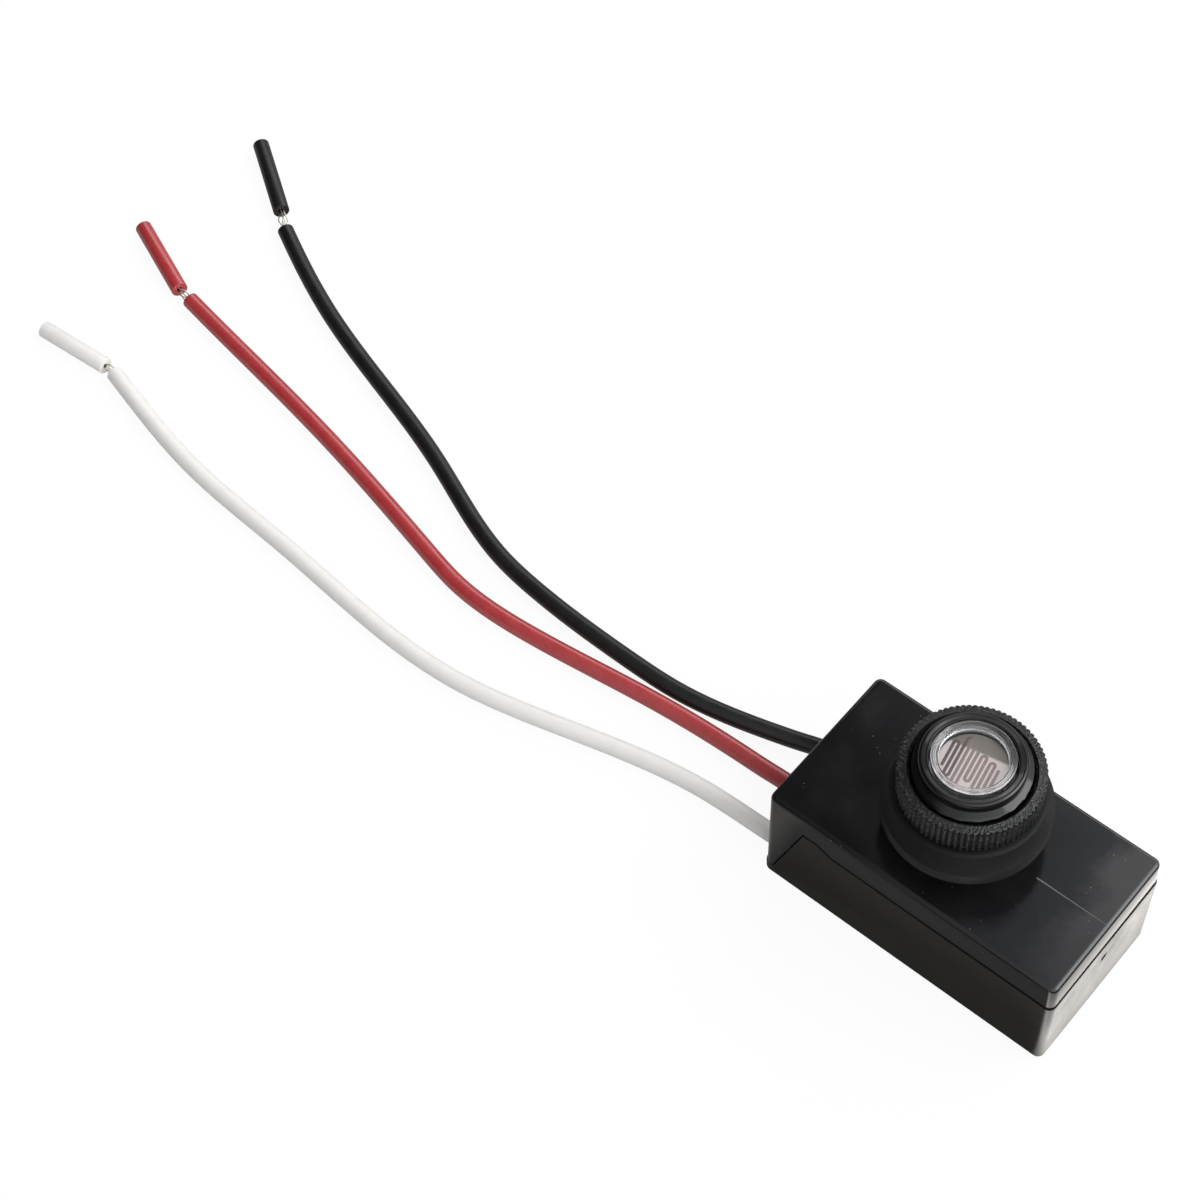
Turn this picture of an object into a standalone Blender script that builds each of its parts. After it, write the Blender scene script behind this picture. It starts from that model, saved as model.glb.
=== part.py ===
"""Photocell switch: a black moulded case whose threaded stem holds a light cell under a clear lens.

A gasket and a knurled nut on the stem clamp it in a panel, and three leads with stripped ends leave the case.
The origin is the middle of the underside, +X runs along the case away from the leads and +Z up the stem.
"""
import math

import bmesh
import bpy
import numpy as np
from mathutils import Matrix, Vector

MM = 0.001
FIT_GAP = 0.3 * MM

# How far from its corner the middle point of a bend or a round edge stays, as a share of the bend
BEND_KNEE = 0.3

# Case
CASE_LENGTH = 55.2 * MM
CASE_WIDTH = 29.6 * MM
CASE_HEIGHT = 23.6 * MM
SIDE_WALL = 1.8 * MM
END_WALL = 1.9 * MM
TOP_WALL = 2.0 * MM
FLOOR_WALL = 1.6 * MM
CORNER_RADIUS = 1.25 * MM
TOP_EDGE_RADIUS = 0.75 * MM
BOTTOM_EDGE_RADIUS = 0.6 * MM
CAVITY_RADIUS = 0.8 * MM
RIM_FLARE = 0.2 * MM
LIP_PROUD = 0.5 * MM
UPPER_DRAFT = 0.2 * MM

# Parting line between the two case halves, seen from the long side
SEAM_DROP = 5.85 * MM
LIP_HEIGHT = 2.4 * MM
SLANT_FOOT_INSET = 1.95 * MM
SLANT_TOP_INSET = 7.7 * MM
HUMP_RISE = 1.15 * MM
HUMP_LENGTH = 2.8 * MM
HUMP_RAMP = 2.6 * MM
TONGUE_THICKNESS = 0.7 * MM
TONGUE_RISE = 1.3 * MM
TONGUE_DEPTH = 3.0 * MM

# Injection gate scar on the free end
GATE_LENGTH = 1.8 * MM
GATE_WIDTH = 0.5 * MM
GATE_DEPTH = 0.3 * MM
GATE_SIDE = 0.2 * MM
GATE_HEIGHT = 13.4 * MM
GATE_LEAN = 30.0

# Stem
THREAD_RADIUS = 9.2 * MM
NECK_RADIUS = 8.35 * MM
MOUTH_RADIUS = 7.75 * MM
STEM_RISE = 21.4 * MM
NECK_LENGTH = 2.2 * MM
STEM_ROOT_FILLET = 0.6 * MM
STEM_BORE = 5.2 * MM
CELL_BORE = 6.1 * MM
LENS_BORE = 6.8 * MM
CELL_SEAT_DEPTH = 6.6 * MM
LENS_SEAT_DEPTH = 2.6 * MM

# Nut and gasket
NUT_RADIUS = 11.45 * MM
NUT_BOTTOM = 13.1 * MM
NUT_HEIGHT = 5.4 * MM
NUT_CHAMFER = 0.3 * MM
NUT_CROWN = 0.25 * MM
NUT_BORE_CHAMFER = 0.45 * MM
KNURL_COUNT = 76
KNURL_DEPTH = 0.38 * MM
GASKET_RADIUS = 13.4 * MM
GASKET_BOTTOM = 6.3 * MM
GASKET_RIM = 2.7 * MM
GASKET_NECK_RADIUS = 12.0 * MM
GASKET_EDGE = 0.45 * MM

# Lens and light cell
LENS_PROUD = 0.35 * MM
LENS_WINDOW_RADIUS = 5.2 * MM
LENS_WINDOW_DEPTH = 1.05 * MM
LENS_WINDOW_THICKNESS = 1.1 * MM
LENS_RIM_EDGE = 0.35 * MM
CELL_RADIUS = 5.5 * MM
CELL_THICKNESS = 1.9 * MM
CELL_EDGE = 0.3 * MM
TRACK_PITCH = 0.8 * MM
TRACK_WIDTH = 0.42 * MM
TRACK_DEPTH = 0.15 * MM
TRACK_MARGIN = 0.9 * MM
TRACK_SHIFT = -0.15 * MM
TRACK_TURN = 11.0
PAD_START = -1.0 * MM
PAD_EDGE = 2.9 * MM
PAD_SLOPE = 0.35
SHORT_TURN_SPAN = 0.9 * MM
SHORT_TURN_EDGE = 3.0 * MM
CARRIER_THICKNESS = 1.7 * MM
CELL_LEAD_RADIUS = 0.3 * MM
CELL_LEAD_SPREAD = 1.7 * MM

# Circuit board
BOARD_UNDERSIDE = 6.0 * MM
BOARD_THICKNESS = 1.6 * MM
BOARD_CLEARANCE = 0.6 * MM
BOARD_CORNER = 1.0 * MM
BOARD_LEAD_END_GAP = 2.6 * MM
POST_RADIUS = 1.7 * MM
POST_INSET_X = 7.0 * MM
POST_INSET_Y = 2.9 * MM
PIN_RADIUS = 0.35 * MM
PIN_TAIL = 1.1 * MM
PIN_BEND = 0.7 * MM

# Parts on the board. A place is a distance in from the board's left or right end and from its front or
# back edge, or from the stem's axis, in millimetres
AXIAL_PARTS = [
    ("dropper_resistor", ("right", 8.1, "front", 3.2), 1.75, 9.0, 11.5, "resistor"),
    ("sense_resistor", ("right", 6.7, "back", 4.9), 1.15, 6.2, 8.8, "resistor"),
    ("gate_resistor", ("right", 6.7, "back", 2.1), 1.15, 6.2, 8.8, "resistor"),
    ("rectifier_diode_1", ("left", 9.8, "axis", -0.9), 1.3, 5.0, 9.0, "diode"),
    ("rectifier_diode_2", ("left", 16.3, "back", 2.1), 1.3, 5.0, 9.0, "diode"),
    ("zener_diode", ("left", 16.3, "back", 5.8), 0.95, 3.8, 7.6, "zener"),
]
DROPPER_CAPACITOR_PLACE = ("left", 9.2, "front", 3.8)
DROPPER_CAPACITOR_SIZE = (13.0 * MM, 5.6 * MM)
DROPPER_CAPACITOR_HEADROOM = 2.2 * MM
DROPPER_CAPACITOR_PITCH = 10.0 * MM
SMOOTHING_CAPACITOR_PLACE = ("left", 7.6, "back", 5.0)
SMOOTHING_CAPACITOR_RADIUS = 4.0 * MM
SMOOTHING_CAPACITOR_HEADROOM = 1.7 * MM
SMOOTHING_CAPACITOR_PITCH = 3.5 * MM
TRIAC_PLACE = ("right", 13.2, "axis", -0.5)
TRIAC_BODY = (11.0 * MM, 7.8 * MM, 2.7 * MM)
TRIAC_HOLE_RADIUS = 1.6 * MM
TRIAC_HOLE_INSET = 3.8 * MM
TRIAC_EDGE = 0.3 * MM
TRIAC_PIN_PITCH = 2.29 * MM
TRIAC_PIN_REACH = 2.5 * MM
TRANSISTOR_PLACE = ("axis", 4.6, "back", 4.2)
TRANSISTOR_RADIUS = 2.3 * MM
TRANSISTOR_FLAT = 1.25 * MM
TRANSISTOR_HEIGHT = 4.8 * MM
TRANSISTOR_STANDOFF = 2.5 * MM
TRANSISTOR_PIN_PITCH = 1.3 * MM
VARISTOR_PLACE = ("right", 18.6, "front", 2.9)
VARISTOR_RADIUS = 3.6 * MM
VARISTOR_THICKNESS = 3.4 * MM
VARISTOR_PITCH = 5.0 * MM
CAN_BEAD_DEPTH = 0.35 * MM
CAN_BEAD_HEIGHT = 1.6 * MM
END_CAP_RISE = 0.25 * MM
END_CAP_LENGTH = 1.5 * MM
BODY_ROUNDING = 0.3

# Leads
LEAD_DIAMETER = 3.2 * MM
CONDUCTOR_RADIUS = 0.62 * MM
SLUG_BORE_RADIUS = 0.95 * MM
STRAND_IN_SLUG = 7.0 * MM
STRAND_OUT = 0.35
STRAND_IN = 0.3
WHITE_LEAD_INSET = 4.9 * MM
BLACK_LEAD_INSET = 5.8 * MM
LEAD_INSIDE = 4.6 * MM
LEAD_POINT_SPACING = 7.4 * MM
TAIL_REACH = 3.0 * MM

# Routes of the leads on the surface that the case stands on, from the case outwards, in millimetres
WHITE_ROUTE = [(-31.9, -9.9), (-40.3, -9.9), (-57.3, -12.4), (-90.9, -20.1), (-133.6, -18.1), (-159.2, -15.9),
               (-181.6, -10.8), (-186.4, -9.5)]
RED_ROUTE = [(-31.9, -0.5), (-39.3, -0.6), (-55.5, -1.3), (-88.3, -5), (-104.5, -4.8), (-112.3, -3.1),
             (-144.4, 4.4), (-182.5, 11.2), (-188, 12.2)]
BLACK_ROUTE = [(-31.6, 8.7), (-37.1, 7.3), (-60.8, 2.1), (-69.2, 1.9), (-93.4, 3), (-101.6, 4.3),
               (-124.5, 12.9), (-163.3, 25.9), (-178.4, 32.6), (-186, 36.5)]
WHITE_SLUG = [(-189.1, -9.3), (-204.8, -10.3)]
RED_SLUG = [(-191.5, 12.8), (-208.5, 19.7)]
BLACK_SLUG = [(-190.1, 39.6), (-205.7, 49.9)]

# Mesh resolution
CORNER_STEPS = 5
EDGE_STEPS = 4
STEM_STEPS = 56
SMALL_STEPS = 12
CELL_STEPS = 32
WIRE_SIDES = 8

LEFT = -CASE_LENGTH / 2
RIGHT = CASE_LENGTH / 2
HALF_WIDTH = CASE_WIDTH / 2
CAVITY_LEFT = LEFT + END_WALL
CAVITY_RIGHT = RIGHT - SIDE_WALL
CAVITY_HALF_WIDTH = HALF_WIDTH - SIDE_WALL
CAVITY_TOP = CASE_HEIGHT - TOP_WALL
SEAM_HEIGHT = CASE_HEIGHT - SEAM_DROP
BOARD_TOP = BOARD_UNDERSIDE + BOARD_THICKNESS
BOARD_LEFT = CAVITY_LEFT + BOARD_LEAD_END_GAP
BOARD_RIGHT = CAVITY_RIGHT - BOARD_CLEARANCE
BOARD_HALF_WIDTH = CAVITY_HALF_WIDTH - BOARD_CLEARANCE
LEAD_RADIUS = LEAD_DIAMETER / 2
THREAD_TOP = STEM_RISE - NECK_LENGTH
CELL_LEDGE = STEM_RISE - CELL_SEAT_DEPTH
LENS_LEDGE = STEM_RISE - LENS_SEAT_DEPTH
LENS_TOP = STEM_RISE + LENS_PROUD
LENS_WINDOW_TOP = LENS_TOP - LENS_WINDOW_DEPTH


def clear_scene():
    for thing in list(bpy.data.objects):
        bpy.data.objects.remove(thing, do_unlink=True)


def make_material(name, color, roughness, metallic=0.0, alpha=1.0):
    material = bpy.data.materials.new(name)
    material.use_nodes = True
    shader = material.node_tree.nodes["Principled BSDF"]
    shader.inputs["Base Color"].default_value = (*color, 1.0)
    shader.inputs["Roughness"].default_value = roughness
    shader.inputs["Metallic"].default_value = metallic
    shader.inputs["Alpha"].default_value = alpha
    return material


def add_object(name, builder, material=None):
    """Turn a bmesh into a linked object with its faces pointing out."""
    bmesh.ops.recalc_face_normals(builder, faces=builder.faces)
    mesh = bpy.data.meshes.new(name)
    builder.to_mesh(mesh)
    builder.free()
    made = bpy.data.objects.new(name, mesh)
    bpy.context.scene.collection.objects.link(made)
    if material:
        mesh.materials.append(material)
    return made


def finish_object(made, name, material, sharp_angle=35.0):
    """Name a finished solid, give it its one material and shade its round faces smooth."""
    made.name = name
    made.data.name = name
    made.data.materials.clear()
    made.data.materials.append(material)
    made.data.shade_smooth()
    made.data.set_sharp_from_angle(angle=math.radians(sharp_angle))
    return made


def combine(body, tool, operation):
    """Join a tool to a body, cut it away or keep what they share, and drop the tool."""
    modifier = body.modifiers.new("combine", "BOOLEAN")
    modifier.operation = operation
    modifier.object = tool
    bpy.context.view_layer.update()
    graph = bpy.context.evaluated_depsgraph_get()
    mesh = bpy.data.meshes.new_from_object(body.evaluated_get(graph))
    body.modifiers.clear()
    body.data = mesh
    bpy.data.objects.remove(tool, do_unlink=True)
    return body


def join_all(body, tools, operation):
    for tool in tools:
        combine(body, tool, operation)
    return body


def loft(rings, name="loft"):
    """Solid through rings of equal point counts, closed by a cap at each end."""
    builder = bmesh.new()
    rows = [[builder.verts.new(point) for point in ring] for ring in rings]
    count = len(rows[0])
    for lower, upper in zip(rows, rows[1:]):
        for i in range(count):
            j = (i + 1) % count
            builder.faces.new((lower[i], lower[j], upper[j], upper[i]))
    builder.faces.new(list(reversed(rows[0])))
    builder.faces.new(rows[-1])
    return add_object(name, builder)


def rounded_rectangle(half_x, half_y, radius, steps=CORNER_STEPS):
    """Corner points of a rectangle with round corners, anticlockwise."""
    points = []
    for corner, (sign_x, sign_y) in enumerate(((1, 1), (-1, 1), (-1, -1), (1, -1))):
        for step in range(steps + 1):
            angle = math.radians(90 * (corner + step / steps))
            points.append((sign_x * (half_x - radius) + radius * math.cos(angle),
                           sign_y * (half_y - radius) + radius * math.sin(angle)))
    return points


def rounded_block(low, high, corner, top_edge=0.0):
    """Box with round upright corners and, where asked, a round top edge."""
    center_x = (low[0] + high[0]) / 2
    center_y = (low[1] + high[1]) / 2
    half_x = (high[0] - low[0]) / 2
    half_y = (high[1] - low[1]) / 2
    levels = [(low[2], 0.0), (high[2], 0.0)]
    if top_edge:
        levels[-1:] = [(high[2] - top_edge * (1 - math.sin(turn)), top_edge * (1 - math.cos(turn)))
                       for turn in quarter_turn()]
    rings = []
    for height, inset in levels:
        outline = rounded_rectangle(half_x - inset, half_y - inset, corner - inset)
        rings.append([(center_x + x, center_y + y, height) for x, y in outline])
    return loft(rings)


def prism_along_y(outline, low_y, high_y):
    """Extrude an outline of X and Z points across the case."""
    return loft([[(x, low_y, z) for x, z in outline], [(x, high_y, z) for x, z in outline]])


def lathe(profile, steps=STEM_STEPS, center=(0.0, 0.0, 0.0)):
    """Turn a closed profile of radius and height points about the upright axis through the centre."""
    builder = bmesh.new()
    columns = []
    for radius, height in profile:
        if radius < 1e-9:
            point = builder.verts.new((center[0], center[1], center[2] + height))
            columns.append([point] * steps)
            continue
        ring = []
        for step in range(steps):
            angle = math.tau * step / steps
            ring.append(builder.verts.new((center[0] + radius * math.cos(angle),
                                           center[1] + radius * math.sin(angle),
                                           center[2] + height)))
        columns.append(ring)
    for first, second in zip(columns, columns[1:] + columns[:1]):
        if first[0] is first[1] and second[0] is second[1]:
            continue
        for i in range(steps):
            j = (i + 1) % steps
            corners = []
            for vertex in (first[i], first[j], second[j], second[i]):
                if vertex not in corners:
                    corners.append(vertex)
            builder.faces.new(corners)
    return add_object("lathe", builder)


def cylinder(radius, low, high, center=(0.0, 0.0), steps=SMALL_STEPS):
    return lathe([(0.0, low), (radius, low), (radius, high), (0.0, high)], steps, (*center, 0.0))


def tube_along(path, radius, sides=WIRE_SIDES):
    """Round wire along a path of points, with flat ends."""
    points = [Vector(point) for point in path]
    rings = []
    side = None
    for i, point in enumerate(points):
        ahead = (points[min(i + 1, len(points) - 1)] - point).normalized() if i + 1 < len(points) else None
        behind = (point - points[i - 1]).normalized() if i else None
        along = ((ahead or behind) + (behind or ahead)).normalized()
        if side is None:
            side = along.orthogonal().normalized()
        side = (side - along * side.dot(along)).normalized()
        other = along.cross(side)
        stretch = 1 / max(0.5, along.dot(ahead or behind))
        ring = []
        for k in range(sides):
            angle = math.tau * (k + 0.5) / sides
            ring.append(point + radius * stretch * (side * math.cos(angle) + other * math.sin(angle)))
        rings.append(ring)
    return loft(rings)


def spline_points(route, spacing):
    """Evenly read points of the smooth curve through a route, ends included."""
    knots = np.array([tuple(point) for point in route])
    reach = np.concatenate([[0.0], np.cumsum(np.linalg.norm(np.diff(knots, axis=0), axis=1))])
    spans = np.diff(reach)
    count = len(knots)
    system = np.eye(count)
    wanted = np.zeros_like(knots)
    for i in range(1, count - 1):
        system[i, i - 1:i + 2] = spans[i - 1], 2 * (spans[i - 1] + spans[i]), spans[i]
        wanted[i] = 6 * ((knots[i + 1] - knots[i]) / spans[i] - (knots[i] - knots[i - 1]) / spans[i - 1])
    bends = np.linalg.solve(system, wanted)
    points = []
    for distance in np.linspace(0.0, reach[-1], round(reach[-1] / spacing) + 1):
        i = min(int(np.searchsorted(reach, distance, side="right")) - 1, count - 2)
        back = (reach[i + 1] - distance) / spans[i]
        on = 1 - back
        curl = ((back ** 3 - back) * bends[i] + (on ** 3 - on) * bends[i + 1]) * spans[i] ** 2 / 6
        points.append(Vector(back * knots[i] + on * knots[i + 1] + curl))
    return points


def offset_line(line, distance):
    """Move an open line of X and Z points sideways to its left, keeping its corners sharp."""
    points = [Vector(point) for point in line]
    normals = []
    for a, b in zip(points, points[1:]):
        run = (b - a).normalized()
        normals.append(Vector((-run.y, run.x)))
    moved = [points[0] + normals[0] * distance]
    for point, before, after in zip(points[1:-1], normals, normals[1:]):
        middle = (before + after).normalized()
        moved.append(point + middle * distance / middle.dot(after))
    moved.append(points[-1] + normals[-1] * distance)
    return [tuple(point) for point in moved]


def parting_line():
    """Line between the case halves from the lead end to the free end, as X and Z points."""
    beyond = END_WALL
    slant_top = LEFT + SLANT_TOP_INSET
    hump = SEAM_HEIGHT + HUMP_RISE
    return [(LEFT - beyond, LIP_HEIGHT), (LEFT + SLANT_FOOT_INSET, LIP_HEIGHT), (slant_top, hump),
            (slant_top + HUMP_LENGTH, hump), (slant_top + HUMP_LENGTH + HUMP_RAMP, SEAM_HEIGHT),
            (RIGHT + beyond, SEAM_HEIGHT)]


def lower_region(offset):
    """Block that holds everything under the parting line, moved up by an offset."""
    line = offset_line(parting_line(), offset)
    below = -FLOOR_WALL
    outline = [(line[0][0], below), (line[-1][0], below)] + line[::-1]
    reach = HALF_WIDTH + SIDE_WALL
    return prism_along_y(outline, -reach, reach)


def shell_block(left, right, half_width, levels):
    """Block with round upright corners through levels of height, edge rounding and the draft of each side.

    A level's rounding draws its outline in. Its two drafts move the left end and the other three sides out.
    """
    rings = []
    for height, rounding, left_draft, draft in levels:
        low = left + rounding - left_draft
        high = right - rounding + draft
        half_y = half_width - rounding + draft
        outline = rounded_rectangle((high - low) / 2, half_y, CORNER_RADIUS - rounding)
        rings.append([((low + high) / 2 + x, y, height) for x, y in outline])
    return loft(rings)


def quarter_turn():
    return [math.radians(90 * step / EDGE_STEPS) for step in range(EDGE_STEPS + 1)]


def upper_block():
    """Outside of the upper case half, widening downwards and set back from the lower half's rim and lip."""
    edge = TOP_EDGE_RADIUS
    levels = [(0.0, 0.0, UPPER_DRAFT, UPPER_DRAFT)]
    levels += [(CASE_HEIGHT - edge * (1 - math.sin(turn)), edge * (1 - math.cos(turn)), 0.0, 0.0)
               for turn in quarter_turn()]
    return shell_block(LEFT + LIP_PROUD, RIGHT - RIM_FLARE, HALF_WIDTH - RIM_FLARE, levels)


def lower_block():
    """Outside of the lower case half: upright at the lip, and drafted inwards below the rim elsewhere."""
    edge = BOTTOM_EDGE_RADIUS
    levels = [(edge * (1 - math.sin(turn)), edge * (1 - math.cos(turn)), 0.0, -RIM_FLARE)
              for turn in reversed(quarter_turn())]
    levels += [(SEAM_HEIGHT, 0.0, 0.0, 0.0), (CASE_HEIGHT, 0.0, 0.0, 0.0)]
    return shell_block(LEFT, RIGHT, HALF_WIDTH, levels)


def cavity_block():
    return rounded_block((CAVITY_LEFT, -CAVITY_HALF_WIDTH, FLOOR_WALL),
                         (CAVITY_RIGHT, CAVITY_HALF_WIDTH, CAVITY_TOP), CAVITY_RADIUS)


def tongue_block(grow):
    """Block whose outer faces are those of the tongue that aligns the case halves."""
    start = LEFT + SLANT_TOP_INSET + HUMP_LENGTH + HUMP_RAMP + SIDE_WALL
    side = CAVITY_HALF_WIDTH + TONGUE_THICKNESS + grow
    return rounded_block((start - grow, -side, SEAM_HEIGHT - TONGUE_DEPTH),
                         (CAVITY_RIGHT + TONGUE_THICKNESS + grow, side, SEAM_HEIGHT + TONGUE_RISE + grow),
                         CAVITY_RADIUS)


def lead_sides():
    """Y of the white, red and black lead where they leave the case, the red one midway."""
    white = WHITE_LEAD_INSET - HALF_WIDTH
    black = HALF_WIDTH - BLACK_LEAD_INSET
    return [white, (white + black) / 2, black]


def lead_holes():
    """Round cutters for the leads, along X through the wall at the parting line."""
    cutters = []
    for side in lead_sides():
        path = [(x, side, LIP_HEIGHT) for x in (LEFT - END_WALL, LEFT + LEAD_INSIDE + FIT_GAP + END_WALL)]
        cutters.append(tube_along(path, LEAD_RADIUS + FIT_GAP, STEM_STEPS // 4))
    return cutters


def post_places():
    y = BOARD_HALF_WIDTH - POST_INSET_Y
    return [(px, py) for px in (BOARD_LEFT + POST_INSET_X, BOARD_RIGHT - POST_INSET_X) for py in (-y, y)]


def gate_scar():
    """Small slanted nick that the injection gate leaves on the free end."""
    half = GATE_LENGTH / 2
    rise = GATE_WIDTH / 2
    scar = rounded_block((-GATE_DEPTH, -half, -rise), (GATE_DEPTH, half, rise), GATE_DEPTH / 4)
    turn = Matrix.Rotation(math.radians(GATE_LEAN), 4, "X")
    scar.data.transform(Matrix.Translation((RIGHT, GATE_SIDE, GATE_HEIGHT)) @ turn)
    return scar


def build_lower_housing(material):
    body = lower_block()
    combine(body, lower_region(0.0), "INTERSECT")
    combine(body, tongue_block(0.0), "UNION")
    combine(body, cavity_block(), "DIFFERENCE")
    overlap = FLOOR_WALL / 2
    for place in post_places():
        combine(body, cylinder(POST_RADIUS, overlap, BOARD_UNDERSIDE - FIT_GAP, place), "UNION")
    join_all(body, lead_holes(), "DIFFERENCE")
    combine(body, gate_scar(), "DIFFERENCE")
    return finish_object(body, "lower_housing", material)


def stem_solid():
    """Outer shape of the stem: threaded length, plain neck and rounded mouth."""
    base = CASE_HEIGHT
    step = THREAD_RADIUS - NECK_RADIUS
    round_over = NECK_RADIUS - MOUTH_RADIUS
    fillet = STEM_ROOT_FILLET
    profile = [(0.0, base - TOP_WALL / 2), (THREAD_RADIUS + fillet, base - TOP_WALL / 2),
               (THREAD_RADIUS + fillet, base)]
    for turn in (30, 60, 90):
        angle = math.radians(turn)
        profile.append((THREAD_RADIUS + fillet * (1 - math.sin(angle)),
                        base + fillet * (1 - math.cos(angle))))
    profile += [(THREAD_RADIUS, base + THREAD_TOP - step), (NECK_RADIUS, base + THREAD_TOP)]
    for turn in (0, 30, 60, 90):
        angle = math.radians(turn)
        profile.append((MOUTH_RADIUS + round_over * math.cos(angle),
                        base + STEM_RISE - round_over * (1 - math.sin(angle))))
    profile.append((0.0, base + STEM_RISE))
    return lathe(profile)


def stem_bore():
    """Stepped hole up the stem, with a ledge for the cell's carrier and one for the lens."""
    below = CASE_HEIGHT - TOP_WALL * 1.5
    above = CASE_HEIGHT + STEM_RISE + TOP_WALL
    cell_ledge = CASE_HEIGHT + CELL_LEDGE
    lens_ledge = CASE_HEIGHT + LENS_LEDGE
    return lathe([(0.0, below), (STEM_BORE, below), (STEM_BORE, cell_ledge), (CELL_BORE, cell_ledge),
                  (CELL_BORE, lens_ledge), (LENS_BORE, lens_ledge), (LENS_BORE, above), (0.0, above)])


def build_upper_housing(material):
    body = upper_block()
    combine(body, lower_region(FIT_GAP), "DIFFERENCE")
    combine(body, stem_solid(), "UNION")
    combine(body, cavity_block(), "DIFFERENCE")
    combine(body, tongue_block(FIT_GAP), "DIFFERENCE")
    combine(body, stem_bore(), "DIFFERENCE")
    join_all(body, lead_holes(), "DIFFERENCE")
    return finish_object(body, "upper_housing", material)


def build_lock_nut(material):
    """Ring with straight knurling round it, a slightly crowned top face and a chamfered bore."""
    base = CASE_HEIGHT + NUT_BOTTOM
    bore = THREAD_RADIUS + FIT_GAP
    builder = bmesh.new()
    teeth = [(math.pi * step / KNURL_COUNT, step % 2 == 1) for step in range(2 * KNURL_COUNT)]

    def ring(radius, height, knurled):
        points = []
        for angle, crest in teeth:
            here = radius - (0.0 if crest or not knurled else KNURL_DEPTH)
            points.append(builder.verts.new((here * math.cos(angle), here * math.sin(angle), base + height)))
        return points

    flat = NUT_RADIUS - KNURL_DEPTH - NUT_CHAMFER
    shoulder = NUT_HEIGHT - NUT_CROWN
    rings = [ring(bore + NUT_BORE_CHAMFER, 0.0, False), ring(flat, 0.0, False),
             ring(NUT_RADIUS, NUT_CHAMFER, True), ring(NUT_RADIUS, shoulder - NUT_CHAMFER, True),
             ring(flat, shoulder, False), ring(bore + NUT_BORE_CHAMFER, NUT_HEIGHT, False),
             ring(bore, NUT_HEIGHT - NUT_BORE_CHAMFER, False), ring(bore, NUT_BORE_CHAMFER, False)]
    count = len(teeth)
    for first, second in zip(rings, rings[1:] + rings[:1]):
        for i in range(count):
            j = (i + 1) % count
            builder.faces.new((first[i], first[j], second[j], second[i]))
    return finish_object(add_object("lock_nut", builder), "lock_nut", material, 20.0)


def build_gasket(material):
    """Rubber ring with a flat rim and a cone that rises to the nut."""
    base = CASE_HEIGHT
    top = NUT_BOTTOM - FIT_GAP
    bore = THREAD_RADIUS + FIT_GAP
    edge = GASKET_EDGE
    profile = [(bore, base + GASKET_BOTTOM), (GASKET_RADIUS - edge, base + GASKET_BOTTOM)]
    for turn in (30, 60, 90):
        angle = math.radians(turn)
        profile.append((GASKET_RADIUS - edge * (1 - math.sin(angle)),
                        base + GASKET_BOTTOM + edge * (1 - math.cos(angle))))
    shoulder = base + GASKET_BOTTOM + GASKET_RIM
    profile += [(GASKET_RADIUS, shoulder - edge), (GASKET_RADIUS - edge / 4, shoulder),
                (GASKET_NECK_RADIUS + edge / 4, base + top - edge),
                (GASKET_NECK_RADIUS - edge / 2, base + top), (bore, base + top)]
    return finish_object(lathe(profile), "gasket", material)


def build_lens(material):
    """Clear cap: a thin window inside a raised rim, with a skirt that stands on its ledge."""
    outer = LENS_BORE - FIT_GAP
    window_under = LENS_WINDOW_TOP - LENS_WINDOW_THICKNESS
    inner = CELL_BORE - FIT_GAP
    foot = LENS_LEDGE + FIT_GAP
    edge = LENS_RIM_EDGE
    profile = [(0.0, window_under), (inner, window_under), (inner, foot), (outer, foot),
               (outer, LENS_TOP - edge), (outer - edge * BEND_KNEE, LENS_TOP - edge * BEND_KNEE),
               (outer - edge, LENS_TOP), (outer - 2 * edge, LENS_TOP),
               (LENS_WINDOW_RADIUS, LENS_WINDOW_TOP), (0.0, LENS_WINDOW_TOP)]
    body = lathe([(radius, CASE_HEIGHT + height) for radius, height in profile])
    return finish_object(body, "lens", material, 20.0)


def carrier_bottom():
    return CASE_HEIGHT + CELL_LEDGE + FIT_GAP


def cell_bottom():
    return carrier_bottom() + CARRIER_THICKNESS + FIT_GAP


def build_photocell(material):
    """Ceramic disc whose face carries the serpentine track between its electrode fingers."""
    low = cell_bottom()
    high = low + CELL_THICKNESS
    edge = CELL_EDGE
    disc = lathe([(0.0, low), (CELL_RADIUS - edge, low), (CELL_RADIUS, low + edge),
                  (CELL_RADIUS, high - edge), (CELL_RADIUS - edge, high), (0.0, high)], CELL_STEPS)
    combine(disc, track_cutter(high), "DIFFERENCE")
    return finish_object(disc, "photocell", material)


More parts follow.
